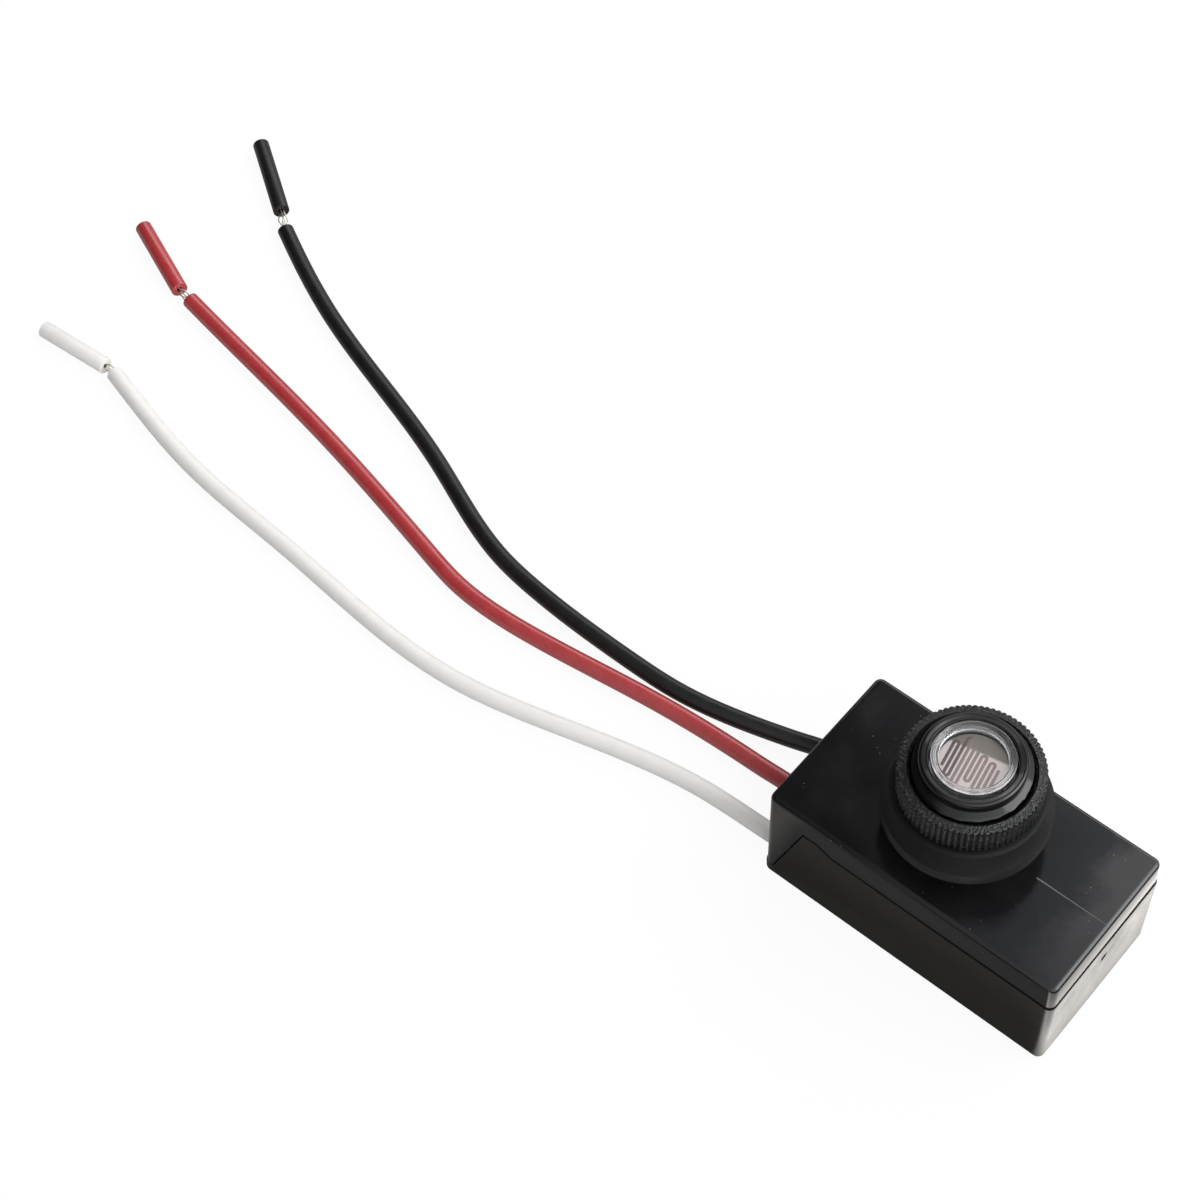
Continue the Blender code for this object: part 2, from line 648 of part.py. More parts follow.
def track_cutter(face):
    """Serpentine band: a bar for each run of the track and one for each turn, set at the track's angle.

    The turns follow the disc's edge, but stop short of the solder pad at the back and once at the front.
    """
    reach = CELL_RADIUS - TRACK_MARGIN
    last = int(reach / TRACK_PITCH)
    half = TRACK_WIDTH / 2

    def place_of_run(run):
        return run * TRACK_PITCH + TRACK_SHIFT

    def back_turn(run):
        middle = place_of_run(run) + TRACK_PITCH / 2
        edge = math.sqrt(reach ** 2 - middle ** 2)
        if middle > PAD_START:
            edge = min(edge, PAD_EDGE - PAD_SLOPE * (middle - PAD_START))
        return edge

    def front_turn(run):
        middle = place_of_run(run) + TRACK_PITCH / 2
        return SHORT_TURN_EDGE if abs(middle) < SHORT_TURN_SPAN else math.sqrt(reach ** 2 - middle ** 2)

    bars = []
    for run in range(-last, last + 1):
        x = place_of_run(run)
        backwards = (run + last) % 2 == 0
        before, after = max(run - 1, -last), min(run, last - 1)
        back = back_turn(after if backwards else before)
        front = front_turn(before if backwards else after)
        bars.append((x - half, -front - half, x + half, back + half))
        if run < last:
            turn = back if backwards else -front
            bars.append((x - half, turn - half, x + TRACK_PITCH + half, turn + half))
    band = None
    for low_x, low_y, high_x, high_y in bars:
        bar = loft([[(low_x, low_y, z), (high_x, low_y, z), (high_x, high_y, z), (low_x, high_y, z)]
                    for z in (face - TRACK_DEPTH, face + TRACK_DEPTH)])
        band = combine(band, bar, "UNION") if band else bar
    band.data.transform(Matrix.Rotation(math.radians(TRACK_TURN), 4, "Z"))
    return band


def cell_lead_places():
    return [(0.0, -CELL_LEAD_SPREAD), (0.0, CELL_LEAD_SPREAD)]


def build_cell_carrier(material):
    """Disc that holds the cell in the stem and lets its two leads through."""
    low = carrier_bottom()
    body = cylinder(CELL_BORE - FIT_GAP, low, low + CARRIER_THICKNESS, steps=CELL_STEPS)
    for place in cell_lead_places():
        reach = CARRIER_THICKNESS * 2
        cutter = cylinder(CELL_LEAD_RADIUS + FIT_GAP, low - reach, low + reach, place, WIRE_SIDES * 2)
        combine(body, cutter, "DIFFERENCE")
    return finish_object(body, "cell_carrier", material)


def build_cell_leads(material):
    made = []
    for number, place in enumerate(cell_lead_places(), 1):
        low, high = BOARD_UNDERSIDE - PIN_TAIL, cell_bottom() - FIT_GAP
        lead = cylinder(CELL_LEAD_RADIUS, low, high, place, WIRE_SIDES)
        made.append(finish_object(lead, f"cell_lead_{number}", material))
    return made


def place_of(place):
    """World X and Y of a place on the board."""
    end, x, side, y = place
    starts = {"left": BOARD_LEFT + x * MM, "right": BOARD_RIGHT - x * MM, "axis": x * MM}
    edges = {"front": y * MM - BOARD_HALF_WIDTH, "back": BOARD_HALF_WIDTH - y * MM, "axis": y * MM}
    return starts[end], edges[side]


def pin(x, y, top):
    """Straight pin from a part's underside through the board."""
    return cylinder(PIN_RADIUS, BOARD_UNDERSIDE - PIN_TAIL, top, (x, y), WIRE_SIDES)


def two_pins(place, pitch):
    x, y = place_of(place)
    return [(x - pitch / 2, y), (x + pitch / 2, y)]


def build_axial(name, place, radius, length, span, shape, material):
    """Part along X with one wire from each end, bent down into the board."""
    x, y = place_of(place)
    radius *= MM
    length *= MM
    half = length / 2
    cap = END_CAP_LENGTH
    waist = radius - (END_CAP_RISE if shape == "resistor" else 0.0)
    round_over = radius * BODY_ROUNDING
    profile = [(0.0, -half), (radius - round_over, -half), (radius, -half + round_over)]
    if shape == "resistor":
        profile += [(radius, -half + cap), (waist, -half + cap + round_over),
                    (waist, half - cap - round_over), (radius, half - cap)]
    profile += [(radius, half - round_over), (radius - round_over, half), (0.0, half)]
    body = lathe(profile, SMALL_STEPS)
    middle = Vector((x, y, BOARD_TOP + FIT_GAP + radius))
    body.data.transform(Matrix.Translation(middle) @ Matrix.Rotation(math.radians(90), 4, "Y"))
    reach = span * MM / 2
    for sign in (-1, 1):
        out = Vector((sign, 0, 0))
        knee = middle + out * reach
        path = [middle + out * (half - round_over), knee - out * PIN_BEND,
                knee - out * PIN_BEND * BEND_KNEE - Vector((0, 0, PIN_BEND * BEND_KNEE)),
                knee - Vector((0, 0, PIN_BEND)), Vector((knee.x, knee.y, BOARD_UNDERSIDE - PIN_TAIL))]
        combine(body, tube_along(path, PIN_RADIUS), "UNION")
    return finish_object(body, name, material)


def build_dropper_capacitor(material):
    x, y = place_of(DROPPER_CAPACITOR_PLACE)
    length, width = DROPPER_CAPACITOR_SIZE
    low = BOARD_TOP + FIT_GAP
    high = CAVITY_TOP - DROPPER_CAPACITOR_HEADROOM
    corner = width / 8
    body = rounded_block((x - length / 2, y - width / 2, low), (x + length / 2, y + width / 2, high),
                         corner, corner / 2)
    for pin_x, pin_y in two_pins(DROPPER_CAPACITOR_PLACE, DROPPER_CAPACITOR_PITCH):
        combine(body, pin(pin_x, pin_y, low + corner), "UNION")
    return finish_object(body, "dropper_capacitor", material)


def build_smoothing_capacitor(material):
    """Upright can with the rolled bead that seals its foot."""
    x, y = place_of(SMOOTHING_CAPACITOR_PLACE)
    radius = SMOOTHING_CAPACITOR_RADIUS
    low = BOARD_TOP + FIT_GAP
    high = CAVITY_TOP - SMOOTHING_CAPACITOR_HEADROOM
    bead = low + CAN_BEAD_HEIGHT
    edge = radius / 8
    body = lathe([(0.0, low), (radius - edge, low), (radius, low + edge), (radius, bead - CAN_BEAD_DEPTH),
                  (radius - CAN_BEAD_DEPTH, bead), (radius, bead + CAN_BEAD_DEPTH), (radius, high - edge),
                  (radius - edge, high), (0.0, high)], SMALL_STEPS, (x, y, 0.0))
    for pin_x, pin_y in two_pins(SMOOTHING_CAPACITOR_PLACE, SMOOTHING_CAPACITOR_PITCH):
        combine(body, pin(pin_x, pin_y, low + edge), "UNION")
    return finish_object(body, "smoothing_capacitor", material)


def triac_pins():
    x, y = place_of(TRIAC_PLACE)
    return [(x - TRIAC_PIN_REACH, y + place * TRIAC_PIN_PITCH) for place in (-1, 0, 1)]


def build_triac(material):
    """Flat power package lying on the board, with its screw hole and three pins bent down."""
    x, y = place_of(TRIAC_PLACE)
    length, width, height = TRIAC_BODY
    low = BOARD_TOP + FIT_GAP
    body = rounded_block((x, y - width / 2, low), (x + length, y + width / 2, low + height),
                         TRIAC_EDGE, TRIAC_EDGE / 2)
    hole = cylinder(TRIAC_HOLE_RADIUS, low - height, low + 2 * height, (x + length - TRIAC_HOLE_INSET, y))
    combine(body, hole, "DIFFERENCE")
    middle = low + height / 2
    for pin_x, pin_y in triac_pins():
        path = [(x + TRIAC_EDGE, pin_y, middle), (pin_x + PIN_BEND, pin_y, middle),
                (pin_x + PIN_BEND * BEND_KNEE, pin_y, middle - PIN_BEND * BEND_KNEE),
                (pin_x, pin_y, middle - PIN_BEND), (pin_x, pin_y, BOARD_UNDERSIDE - PIN_TAIL)]
        combine(body, tube_along(path, PIN_RADIUS), "UNION")
    return finish_object(body, "triac", material)


def transistor_pins():
    x, y = place_of(TRANSISTOR_PLACE)
    return [(x + place * TRANSISTOR_PIN_PITCH, y) for place in (-1, 0, 1)]


def build_transistor(material):
    """Small half-round package standing on its three pins."""
    x, y = place_of(TRANSISTOR_PLACE)
    radius = TRANSISTOR_RADIUS
    low = BOARD_TOP + TRANSISTOR_STANDOFF
    high = low + TRANSISTOR_HEIGHT
    body = cylinder(radius, low, high, (x, y))
    flat = rounded_block((x - radius * 2, y + TRANSISTOR_FLAT, low - radius),
                         (x + radius * 2, y + radius * 2, high + radius), radius / 8)
    combine(body, flat, "DIFFERENCE")
    for pin_x, pin_y in transistor_pins():
        combine(body, pin(pin_x, pin_y, low + radius / 2), "UNION")
    return finish_object(body, "transistor", material)


def build_varistor(material):
    """Coated disc standing on edge on two pins."""
    x, y = place_of(VARISTOR_PLACE)
    half = VARISTOR_THICKNESS / 2
    radius = VARISTOR_RADIUS
    round_over = VARISTOR_THICKNESS * BODY_ROUNDING
    body = lathe([(0.0, -half), (radius - round_over, -half), (radius, -half + round_over),
                  (radius, half - round_over), (radius - round_over, half), (0.0, half)], SMALL_STEPS)
    middle = BOARD_TOP + FIT_GAP + radius
    body.data.transform(Matrix.Translation((x, y, middle)) @ Matrix.Rotation(math.radians(90), 4, "X"))
    for pin_x, pin_y in two_pins(VARISTOR_PLACE, VARISTOR_PITCH):
        combine(body, pin(pin_x, pin_y, middle - radius / 2), "UNION")
    return finish_object(body, "surge_varistor", material)


def tail_places():
    """Where the three leads are soldered through the board."""
    x = LEFT + LEAD_INSIDE + TAIL_REACH
    return [(x, side) for side in lead_sides()]


def pin_places():
    """Every place where a component's pin passes the board."""
    places = transistor_pins() + triac_pins()
    for _, place, _, _, span, _ in AXIAL_PARTS:
        places += two_pins(place, span * MM)
    places += two_pins(DROPPER_CAPACITOR_PLACE, DROPPER_CAPACITOR_PITCH)
    places += two_pins(SMOOTHING_CAPACITOR_PLACE, SMOOTHING_CAPACITOR_PITCH)
    places += two_pins(VARISTOR_PLACE, VARISTOR_PITCH)
    return places


def build_circuit_board(material):
    body = rounded_block((BOARD_LEFT, -BOARD_HALF_WIDTH, BOARD_UNDERSIDE),
                         (BOARD_RIGHT, BOARD_HALF_WIDTH, BOARD_TOP), BOARD_CORNER)
    holes = [(place, PIN_RADIUS) for place in pin_places()]
    holes += [(place, CELL_LEAD_RADIUS) for place in cell_lead_places()]
    holes += [(place, CONDUCTOR_RADIUS) for place in tail_places()]
    for place, radius in holes:
        cutter = cylinder(radius + FIT_GAP, BOARD_UNDERSIDE - BOARD_THICKNESS, BOARD_TOP + BOARD_THICKNESS,
                          place, WIRE_SIDES)
        combine(body, cutter, "DIFFERENCE")
    return finish_object(body, "circuit_board", material)


def build_lead_tails(names, material):
    """Bare inner end of each lead, from its insulation up into the board."""
    made = []
    for name, (x, side) in zip(names, tail_places()):
        start = LEFT + LEAD_INSIDE + FIT_GAP
        bend = TAIL_REACH / 3
        path = [(start, side, LIP_HEIGHT), (x - bend, side, LIP_HEIGHT),
                (x - bend * BEND_KNEE, side, LIP_HEIGHT + bend * BEND_KNEE), (x, side, LIP_HEIGHT + bend),
                (x, side, BOARD_TOP - FIT_GAP)]
        made.append(finish_object(tube_along(path, CONDUCTOR_RADIUS), f"{name}_tail", material))
    return made


def lead_route(side, route):
    """Points of one lead's middle line: out of its hole, down on to the surface and away."""
    inner = LEFT + LEAD_INSIDE
    points = [Vector((inner, side, LIP_HEIGHT)), Vector((LEFT, side, LIP_HEIGHT))]
    first, *rest = route
    points.append(Vector((first[0] * MM, first[1] * MM, (LIP_HEIGHT * 2 + LEAD_RADIUS) / 3)))
    points += [Vector((x * MM, y * MM, LEAD_RADIUS)) for x, y in rest]
    return points


def build_lead(name, side, route, material):
    """Insulated lead as a round cord on its smooth route."""
    points = spline_points(lead_route(side, route), LEAD_POINT_SPACING)
    curve = bpy.data.curves.new(name, "CURVE")
    curve.dimensions = "3D"
    curve.bevel_depth = LEAD_RADIUS
    curve.bevel_resolution = 2
    curve.use_fill_caps = True
    spline = curve.splines.new("POLY")
    spline.points.add(len(points) - 1)
    for target, point in zip(spline.points, points):
        target.co = (point.x, point.y, max(point.z, LEAD_RADIUS), 1.0)
    curve.materials.append(material)
    made = bpy.data.objects.new(name, curve)
    bpy.context.scene.collection.objects.link(made)
    return made


def surface_point(place):
    return Vector((place[0] * MM, place[1] * MM, LEAD_RADIUS))


def build_slug(name, ends, material):
    """Cut length of insulation left on the tip, with its hole open at both ends."""
    near, far = (surface_point(place) for place in ends)
    length = (far - near).length
    bore = SLUG_BORE_RADIUS
    body = lathe([(bore, 0.0), (LEAD_RADIUS, 0.0), (LEAD_RADIUS, length), (bore, length)], SMALL_STEPS)
    turn = Vector((0, 0, 1)).rotation_difference(far - near).to_matrix().to_4x4()
    body.data.transform(Matrix.Translation(near) @ turn)
    return finish_object(body, name, material)


def build_strand(name, route, ends, material):
    """Bare twisted conductor from the end of the insulation into the slug."""
    last = surface_point(route[-1])
    before = surface_point(route[-2])
    near, far = (surface_point(place) for place in ends)
    out = (last - before).normalized()
    into = (far - near).normalized()
    start = last + out * FIT_GAP
    bare = (near - start).length
    path = [start, start + out * bare * STRAND_OUT, near - into * bare * STRAND_IN,
            near + into * STRAND_IN_SLUG]
    return finish_object(tube_along(path, CONDUCTOR_RADIUS), name, material)


def build_all():
    clear_scene()
    case_black = make_material("case_black", (0.012, 0.012, 0.013), 0.25)
    nut_black = make_material("nut_black", (0.015, 0.015, 0.016), 0.5)
    rubber_black = make_material("rubber_black", (0.014, 0.014, 0.014), 0.65)
    lens_clear = make_material("lens_clear", (0.95, 0.96, 0.97), 0.03, alpha=0.35)
    ceramic = make_material("cell_ceramic", (0.72, 0.62, 0.6), 0.4)
    carrier_grey = make_material("carrier_grey", (0.05, 0.05, 0.055), 0.6)
    board_brown = make_material("board_brown", (0.32, 0.2, 0.09), 0.5)
    tinned = make_material("tinned_copper", (0.75, 0.73, 0.68), 0.3, 1.0)
    film_yellow = make_material("film_yellow", (0.75, 0.5, 0.06), 0.4)
    can_sleeve = make_material("can_sleeve", (0.03, 0.04, 0.08), 0.35)
    package_black = make_material("package_black", (0.02, 0.02, 0.022), 0.5)
    resistor_tan = make_material("resistor_tan", (0.62, 0.5, 0.32), 0.45)
    glass_orange = make_material("glass_orange", (0.7, 0.25, 0.08), 0.15)
    varistor_blue = make_material("varistor_blue", (0.05, 0.16, 0.45), 0.4)
    white_pvc = make_material("white_pvc", (0.86, 0.85, 0.83), 0.4)
    red_pvc = make_material("red_pvc", (0.52, 0.03, 0.045), 0.35)
    black_pvc = make_material("black_pvc", (0.015, 0.015, 0.014), 0.4)

    build_lower_housing(case_black)
    build_upper_housing(case_black)
    build_lock_nut(nut_black)
    build_gasket(rubber_black)
    build_lens(lens_clear)
    build_photocell(ceramic)
    build_cell_carrier(carrier_grey)
    build_cell_leads(tinned)
    build_circuit_board(board_brown)
    axial_materials = {"resistor": resistor_tan, "diode": package_black, "zener": glass_orange}
    for name, place, radius, length, span, shape in AXIAL_PARTS:
        build_axial(name, place, radius, length, span, shape, axial_materials[shape])
    build_dropper_capacitor(film_yellow)
    build_smoothing_capacitor(can_sleeve)
    build_triac(package_black)
    build_transistor(package_black)
    build_varistor(varistor_blue)
    build_lead_tails(("white", "red", "black"), tinned)
    leads = (("white", WHITE_ROUTE, WHITE_SLUG, white_pvc), ("red", RED_ROUTE, RED_SLUG, red_pvc),
             ("black", BLACK_ROUTE, BLACK_SLUG, black_pvc))
    for side, (color, route, slug, insulation) in zip(lead_sides(), leads):
        build_lead(f"{color}_lead", side, route, insulation)
        build_strand(f"{color}_strand", route, slug, tinned)
        build_slug(f"{color}_slug", slug, insulation)


build_all()
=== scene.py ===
import math

import bmesh
import bpy
import numpy as np
from mathutils import Matrix, Vector


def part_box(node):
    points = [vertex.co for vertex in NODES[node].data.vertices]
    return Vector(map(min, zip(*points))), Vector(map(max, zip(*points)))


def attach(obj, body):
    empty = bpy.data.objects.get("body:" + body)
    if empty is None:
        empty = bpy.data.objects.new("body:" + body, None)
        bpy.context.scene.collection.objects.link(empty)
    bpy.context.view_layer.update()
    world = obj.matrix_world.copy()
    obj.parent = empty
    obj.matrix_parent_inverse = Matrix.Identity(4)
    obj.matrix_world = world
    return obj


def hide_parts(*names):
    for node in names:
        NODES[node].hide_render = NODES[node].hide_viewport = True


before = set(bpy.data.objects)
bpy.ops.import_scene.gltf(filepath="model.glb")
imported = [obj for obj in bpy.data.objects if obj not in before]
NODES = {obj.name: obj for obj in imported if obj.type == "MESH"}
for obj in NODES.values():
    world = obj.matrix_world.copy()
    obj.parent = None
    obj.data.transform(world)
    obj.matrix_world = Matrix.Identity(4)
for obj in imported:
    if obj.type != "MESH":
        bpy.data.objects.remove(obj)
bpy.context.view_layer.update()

# The finished look of a photocell switch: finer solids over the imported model, materials, camera and studio
MM = 0.001

# Camera, fitted to the photograph's vanishing lines
CAMERA_POSITION = Vector((0.09817, -0.18428, 0.39119))
CAMERA_TARGET = Vector((-0.08279, 0.00907, 0.0))
CAMERA_ROLL = -3.647
CAMERA_LENS = 80.27
SENSOR_WIDTH = 36.0

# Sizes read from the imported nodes
CASE_LOW, CASE_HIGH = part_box("lower_housing")
NUT_LOW, NUT_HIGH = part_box("lock_nut")
GASKET_LOW, GASKET_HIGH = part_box("gasket")
LENS_LOW, LENS_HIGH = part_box("lens")
CELL_LOW, CELL_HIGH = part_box("photocell")
STEM_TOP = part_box("upper_housing")[1].z
STEM_RISE = 21.4 * MM
PLATE_TOP = STEM_TOP - STEM_RISE

# Stem and its thread
THREAD_CREST = 9.2 * MM
THREAD_ROOT = 8.45 * MM
THREAD_PITCH = 2.0 * MM
THREAD_FLAT = 0.18
THREAD_RUNOUT = 0.9 * MM
NECK_RADIUS = 8.35 * MM
NECK_LENGTH = 2.2 * MM
MOUTH_ROUND = 0.6 * MM
STEM_FILLET = 0.6 * MM
LENS_SEAT = (6.8 * MM, 2.6 * MM)
CELL_SEAT = (6.1 * MM, 6.6 * MM)
STEM_BORE = 5.2 * MM
STEM_STEPS = 180
THREAD_STEP = 0.1 * MM

# Nut and gasket
KNURL_COUNT = 76
KNURL_DEPTH = 0.38 * MM
KNURL_STEPS = 6
NUT_BORE = 9.5 * MM
NUT_BORE_CHAMFER = 0.45 * MM
NUT_EDGE = 0.3 * MM
NUT_CROWN = 0.25 * MM
GASKET_BORE = 9.5 * MM
GASKET_BAND = 2.6 * MM
GASKET_NECK = 12.1 * MM
GASKET_EDGE = 0.4 * MM
GASKET_STEPS = 160

# Lens
LENS_EDGE = 0.3 * MM
LENS_WINDOW_RADIUS = 5.2 * MM
LENS_WINDOW_DEPTH = 1.05 * MM
LENS_WINDOW_THICKNESS = 1.1 * MM
LENS_INNER = 5.8 * MM
LENS_STEPS = 128

# Fine turned ribs of the lens and of the stem's mouth: pitch, depth and count
LENS_RIBS = (0.25 * MM, 0.07 * MM, 3)
MOUTH_RIBS = (0.2 * MM, 0.04 * MM, 3)

# Light cell
TRACK_PITCH = 0.8 * MM
TRACK_WIDTH = 0.5 * MM
TRACK_RISE = 0.03 * MM
TRACK_TURN = 11.0
TRACK_MARGIN = 0.9 * MM
TRACK_SHIFT = -0.15 * MM
PAD_START = -1.0 * MM
PAD_EDGE = 2.9 * MM
PAD_SLOPE = 0.35
SHORT_TURN_SPAN = 0.9 * MM
SHORT_TURN_EDGE = 3.0 * MM
CELL_EDGE = 0.25 * MM
CELL_STEPS = 96

# Leads, with their routes as in the model: from the case outwards, in millimetres
LEAD_DIAMETER = 3.2 * MM
LEAD_RADIUS = LEAD_DIAMETER / 2
LIP_HEIGHT = 2.4 * MM
LEAD_INSIDE = 4.6 * MM
WHITE_LEAD_INSET = 4.9 * MM
BLACK_LEAD_INSET = 5.8 * MM
LEAD_STEP = 1.5 * MM
WHITE_ROUTE = [(-31.9, -9.9), (-40.3, -9.9), (-57.3, -12.4), (-90.9, -20.1), (-133.6, -18.1), (-159.2, -15.9),
               (-181.6, -10.8), (-186.4, -9.5)]
RED_ROUTE = [(-31.9, -0.5), (-39.3, -0.6), (-55.5, -1.3), (-88.3, -5), (-104.5, -4.8), (-112.3, -3.1),
             (-144.4, 4.4), (-182.5, 11.2), (-188, 12.2)]
BLACK_ROUTE = [(-31.6, 8.7), (-37.1, 7.3), (-60.8, 2.1), (-69.2, 1.9), (-93.4, 3), (-101.6, 4.3),
               (-124.5, 12.9), (-163.3, 25.9), (-178.4, 32.6), (-186, 36.5)]
WHITE_SLUG = [(-189.1, -9.3), (-204.8, -10.3)]
RED_SLUG = [(-191.5, 12.8), (-208.5, 19.7)]
BLACK_SLUG = [(-190.1, 39.6), (-205.7, 49.9)]
SLUG_BORE = 0.62 * MM
SLUG_EDGE = 0.06 * MM
SLUG_STEPS = 40
STRAND_RADIUS = 0.12 * MM
STRAND_LAY = 0.42 * MM
STRAND_LOOSENING = 1.1
STRAND_LOOSE_REACH = 1.3 * MM
STRAND_OVERRUN = 0.4 * MM
STRAND_START = 2.0 * MM
STRAND_STEP = 0.35 * MM
STRAND_COUNT = 5
STRAND_TWIST = 22.0 * MM
STRAND_INSIDE = 6.5 * MM
STRAND_SIDES = 8

# Marks of moulding. The gate's values are in millimetres: its place on the free end, the scar's depth, length
# and width, how far the scar's middle lies inside the case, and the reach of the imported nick's own points
KNIT_START = 13.9 * MM
KNIT_END = 27.0 * MM
KNIT_WIDTHS = (0.34 * MM, 0.14 * MM)
KNIT_RISE = 0.05 * MM
GATE_PLACE = (27.6, 0.2, 13.4)
GATE_SIZE = (0.22, 1.3, 1.35)
GATE_LEAN = 15.0
GATE_INSET = 0.14
GATE_STEPS = 24
NICK_REACH = 1.8

# The seam as it shows, in millimetres: how far its corners at the leads move in X and Z, how near a point is
# to count as one, and where the seam opens at the free end, with its lower and upper height and the opening
SEAM_SHIFTS = {"upper_housing": [((-25.86, 2.7), (0.1, -0.05)), ((-20.11, 19.2), (0.08, -0.1)),
                                 ((-17.04, 19.2), (0.0, -0.12)), ((-14.44, 18.05), (0.0, -0.06))],
               "lower_housing": []}
SEAM_NEAR = (0.25, 0.05)
SEAM_END = (26.3, 17.75, 18.05, 0.1)
FIT_GAP = 0.3 * MM

# Edges: how wide a broken one is, and from what angle in degrees one is broken, shaded sharp or kept at all
BREAK_EDGE = 0.08 * MM
BREAK_ANGLE = 50.0
SHARP_ANGLE = 38.0
FLAT_ANGLE = 0.5

# Where a finish or painted light changes, in millimetres; the plate's pale right end and the lens rim's front
# side carry painted light. The squares are of a distance from the stem's axis
SMUDGE_LIGHT_END = (25.5, 29.5)
SMUDGE_LIGHT_HEIGHT = (23.0, 23.5)
SMUDGE_LIGHT_FRONT = (-14.0, 4.0)
NUT_GRAIN_SQUARES = (97.0, 101.0)
NUT_GRAIN_LIT = (-7.0, 4.0)
LENS_RIM_SQUARES = (29.0, 33.0)
LENS_PAINTED_LIGHT = (-1.0, 4.0)
CELL_BORDER = (2.2, 2.6)
TRACK_PALE = (-2.5, -1.7)

# Studio: places on the floor in millimetres, and in the sky as parts of its unit sphere
FLOOR_SIZE = 4.0
FLOOR_DROP = 0.02 * MM
FLOOR_WHITENESS = 0.88
FLOOR_GLOW = 1.05
# The floor's glow in reflections only: painted light past the free end and the lead end, painted shadow in
# front of the case
FLOOR_PAINTED_REFLECTION_COLOR = (1.0, 0.97, 0.93)
FLOOR_RIGHT_EDGE = (25.5, 29.0)
FLOOR_RIGHT_PAINTED_LIGHT = 2.6
FLOOR_RIGHT_STEP = (31.0, 32.5, 0.68)
FLOOR_RIGHT_FADE = (34.0, 62.0, 0.05)
FLOOR_FRONT_EDGE = (-19.0, -27.0)
FLOOR_FRONT_PAINTED_SHADOW = (0.085, 0.24)
FLOOR_FRONT_FADE = (-34.0, -75.0, 0.2)
FLOOR_LEFT_EDGE = (-24.5, -32.5)
FLOOR_LEFT_PAINTED_LIGHT = 0.46
SKY_COLOR = (0.95, 0.98, 1.0)
SKY_EDGE = (-0.36, -0.06)
SKY_LEVELS = (0.045, 0.85)
SKY_SIDE_EDGE = (0.1, 0.8)
SKY_SIDE_LEVEL = 1.6
SKY_HORIZON = (0.16, 0.34, 0.1)
SKY_LIT_SIDE = (-0.1, 0.3)
SKY_SEEN = 1.06
CARD_LEVEL = 4.0
CARD_EDGE = (0.4, 0.65)
CARD_TOP = (0.5, 0.75)
CARD_BACK = (-0.1, 0.15)
KEY_LAMP = {"position": (0.5, 0.42, 0.8), "target": (0, 0, 0.02), "size": (0.55, 0.55), "power": 3.0}
BACK_LAMP = {"position": (-0.42, 0.78, 0.5), "target": (-0.08, 0, 0.02), "size": (1.0, 0.4), "power": 2.6}


def new_material(name, color, roughness, metallic=0.0):
    material = bpy.data.materials.new(name)
    material.use_nodes = True
    shader = material.node_tree.nodes["Principled BSDF"]
    shader.inputs["Base Color"].default_value = (*color, 1.0)
    shader.inputs["Roughness"].default_value = roughness
    shader.inputs["Metallic"].default_value = metallic
    return material


def shader_of(material):
    return material.node_tree.nodes["Principled BSDF"]


def add_node(material, kind, **settings):
    node = material.node_tree.nodes.new(kind)
    for key, value in settings.items():
        setattr(node, key, value)
    return node


def object_point(material, stretch=(1.0, 1.0, 1.0), turn=0.0):
    """Object coordinates in millimetres, turned about Z and stretched."""
    links = material.node_tree.links
    source = add_node(material, "ShaderNodeTexCoord")
    mapping = add_node(material, "ShaderNodeMapping")
    mapping.inputs["Scale"].default_value = [value / MM for value in stretch]
    mapping.inputs["Rotation"].default_value = (0.0, 0.0, math.radians(turn))
    links.new(source.outputs["Object"], mapping.inputs["Vector"])
    return mapping.outputs["Vector"]


def place_in(material, turn=0.0):
    """Object coordinates in millimetres, one socket for each axis."""
    node = add_node(material, "ShaderNodeSeparateXYZ")
    material.node_tree.links.new(object_point(material, turn=turn), node.inputs["Vector"])
    return node.outputs


def noise(material, period, detail=3.0, rough=0.55, stretch=(1.0, 1.0, 1.0), turn=0.0):
    """Noise whose grains are about one period in millimetres across."""
    node = add_node(material, "ShaderNodeTexNoise")
    node.inputs["Scale"].default_value = 1.0 / period
    node.inputs["Detail"].default_value = detail
    node.inputs["Roughness"].default_value = rough
    material.node_tree.links.new(object_point(material, stretch, turn), node.inputs["Vector"])
    return node.outputs["Fac"]


def specks(material, period, size):
    """Sparse round dots: one where a cell's middle is nearer than the size."""
    node = add_node(material, "ShaderNodeTexVoronoi")
    node.inputs["Scale"].default_value = 1.0 / period
    material.node_tree.links.new(object_point(material), node.inputs["Vector"])
    return spread(material, node.outputs["Distance"], size, size * 0.6, 0.0, 1.0)


def spread(material, value, low, high, out_low, out_high):
    """Map a value's range to another and hold it there."""
    node = add_node(material, "ShaderNodeMapRange")
    for socket, number in (("From Min", low), ("From Max", high), ("To Min", out_low), ("To Max", out_high)):
        node.inputs[socket].default_value = number
    material.node_tree.links.new(value, node.inputs["Value"])
    return node.outputs["Result"]


def math_node(material, operation, first, second):
    node = add_node(material, "ShaderNodeMath", operation=operation)
    for socket, value in zip(node.inputs, (first, second)):
        if isinstance(value, (int, float)):
            socket.default_value = value
        else:
            material.node_tree.links.new(value, socket)
    return node.outputs[0]


def times(material, first, second):
    return math_node(material, "MULTIPLY", first, second)


def from_axis(material, place):
    """Square of the distance from the stem's axis, in square millimetres."""
    squares = [times(material, place[axis], place[axis]) for axis in "XY"]
    return math_node(material, "ADD", *squares)


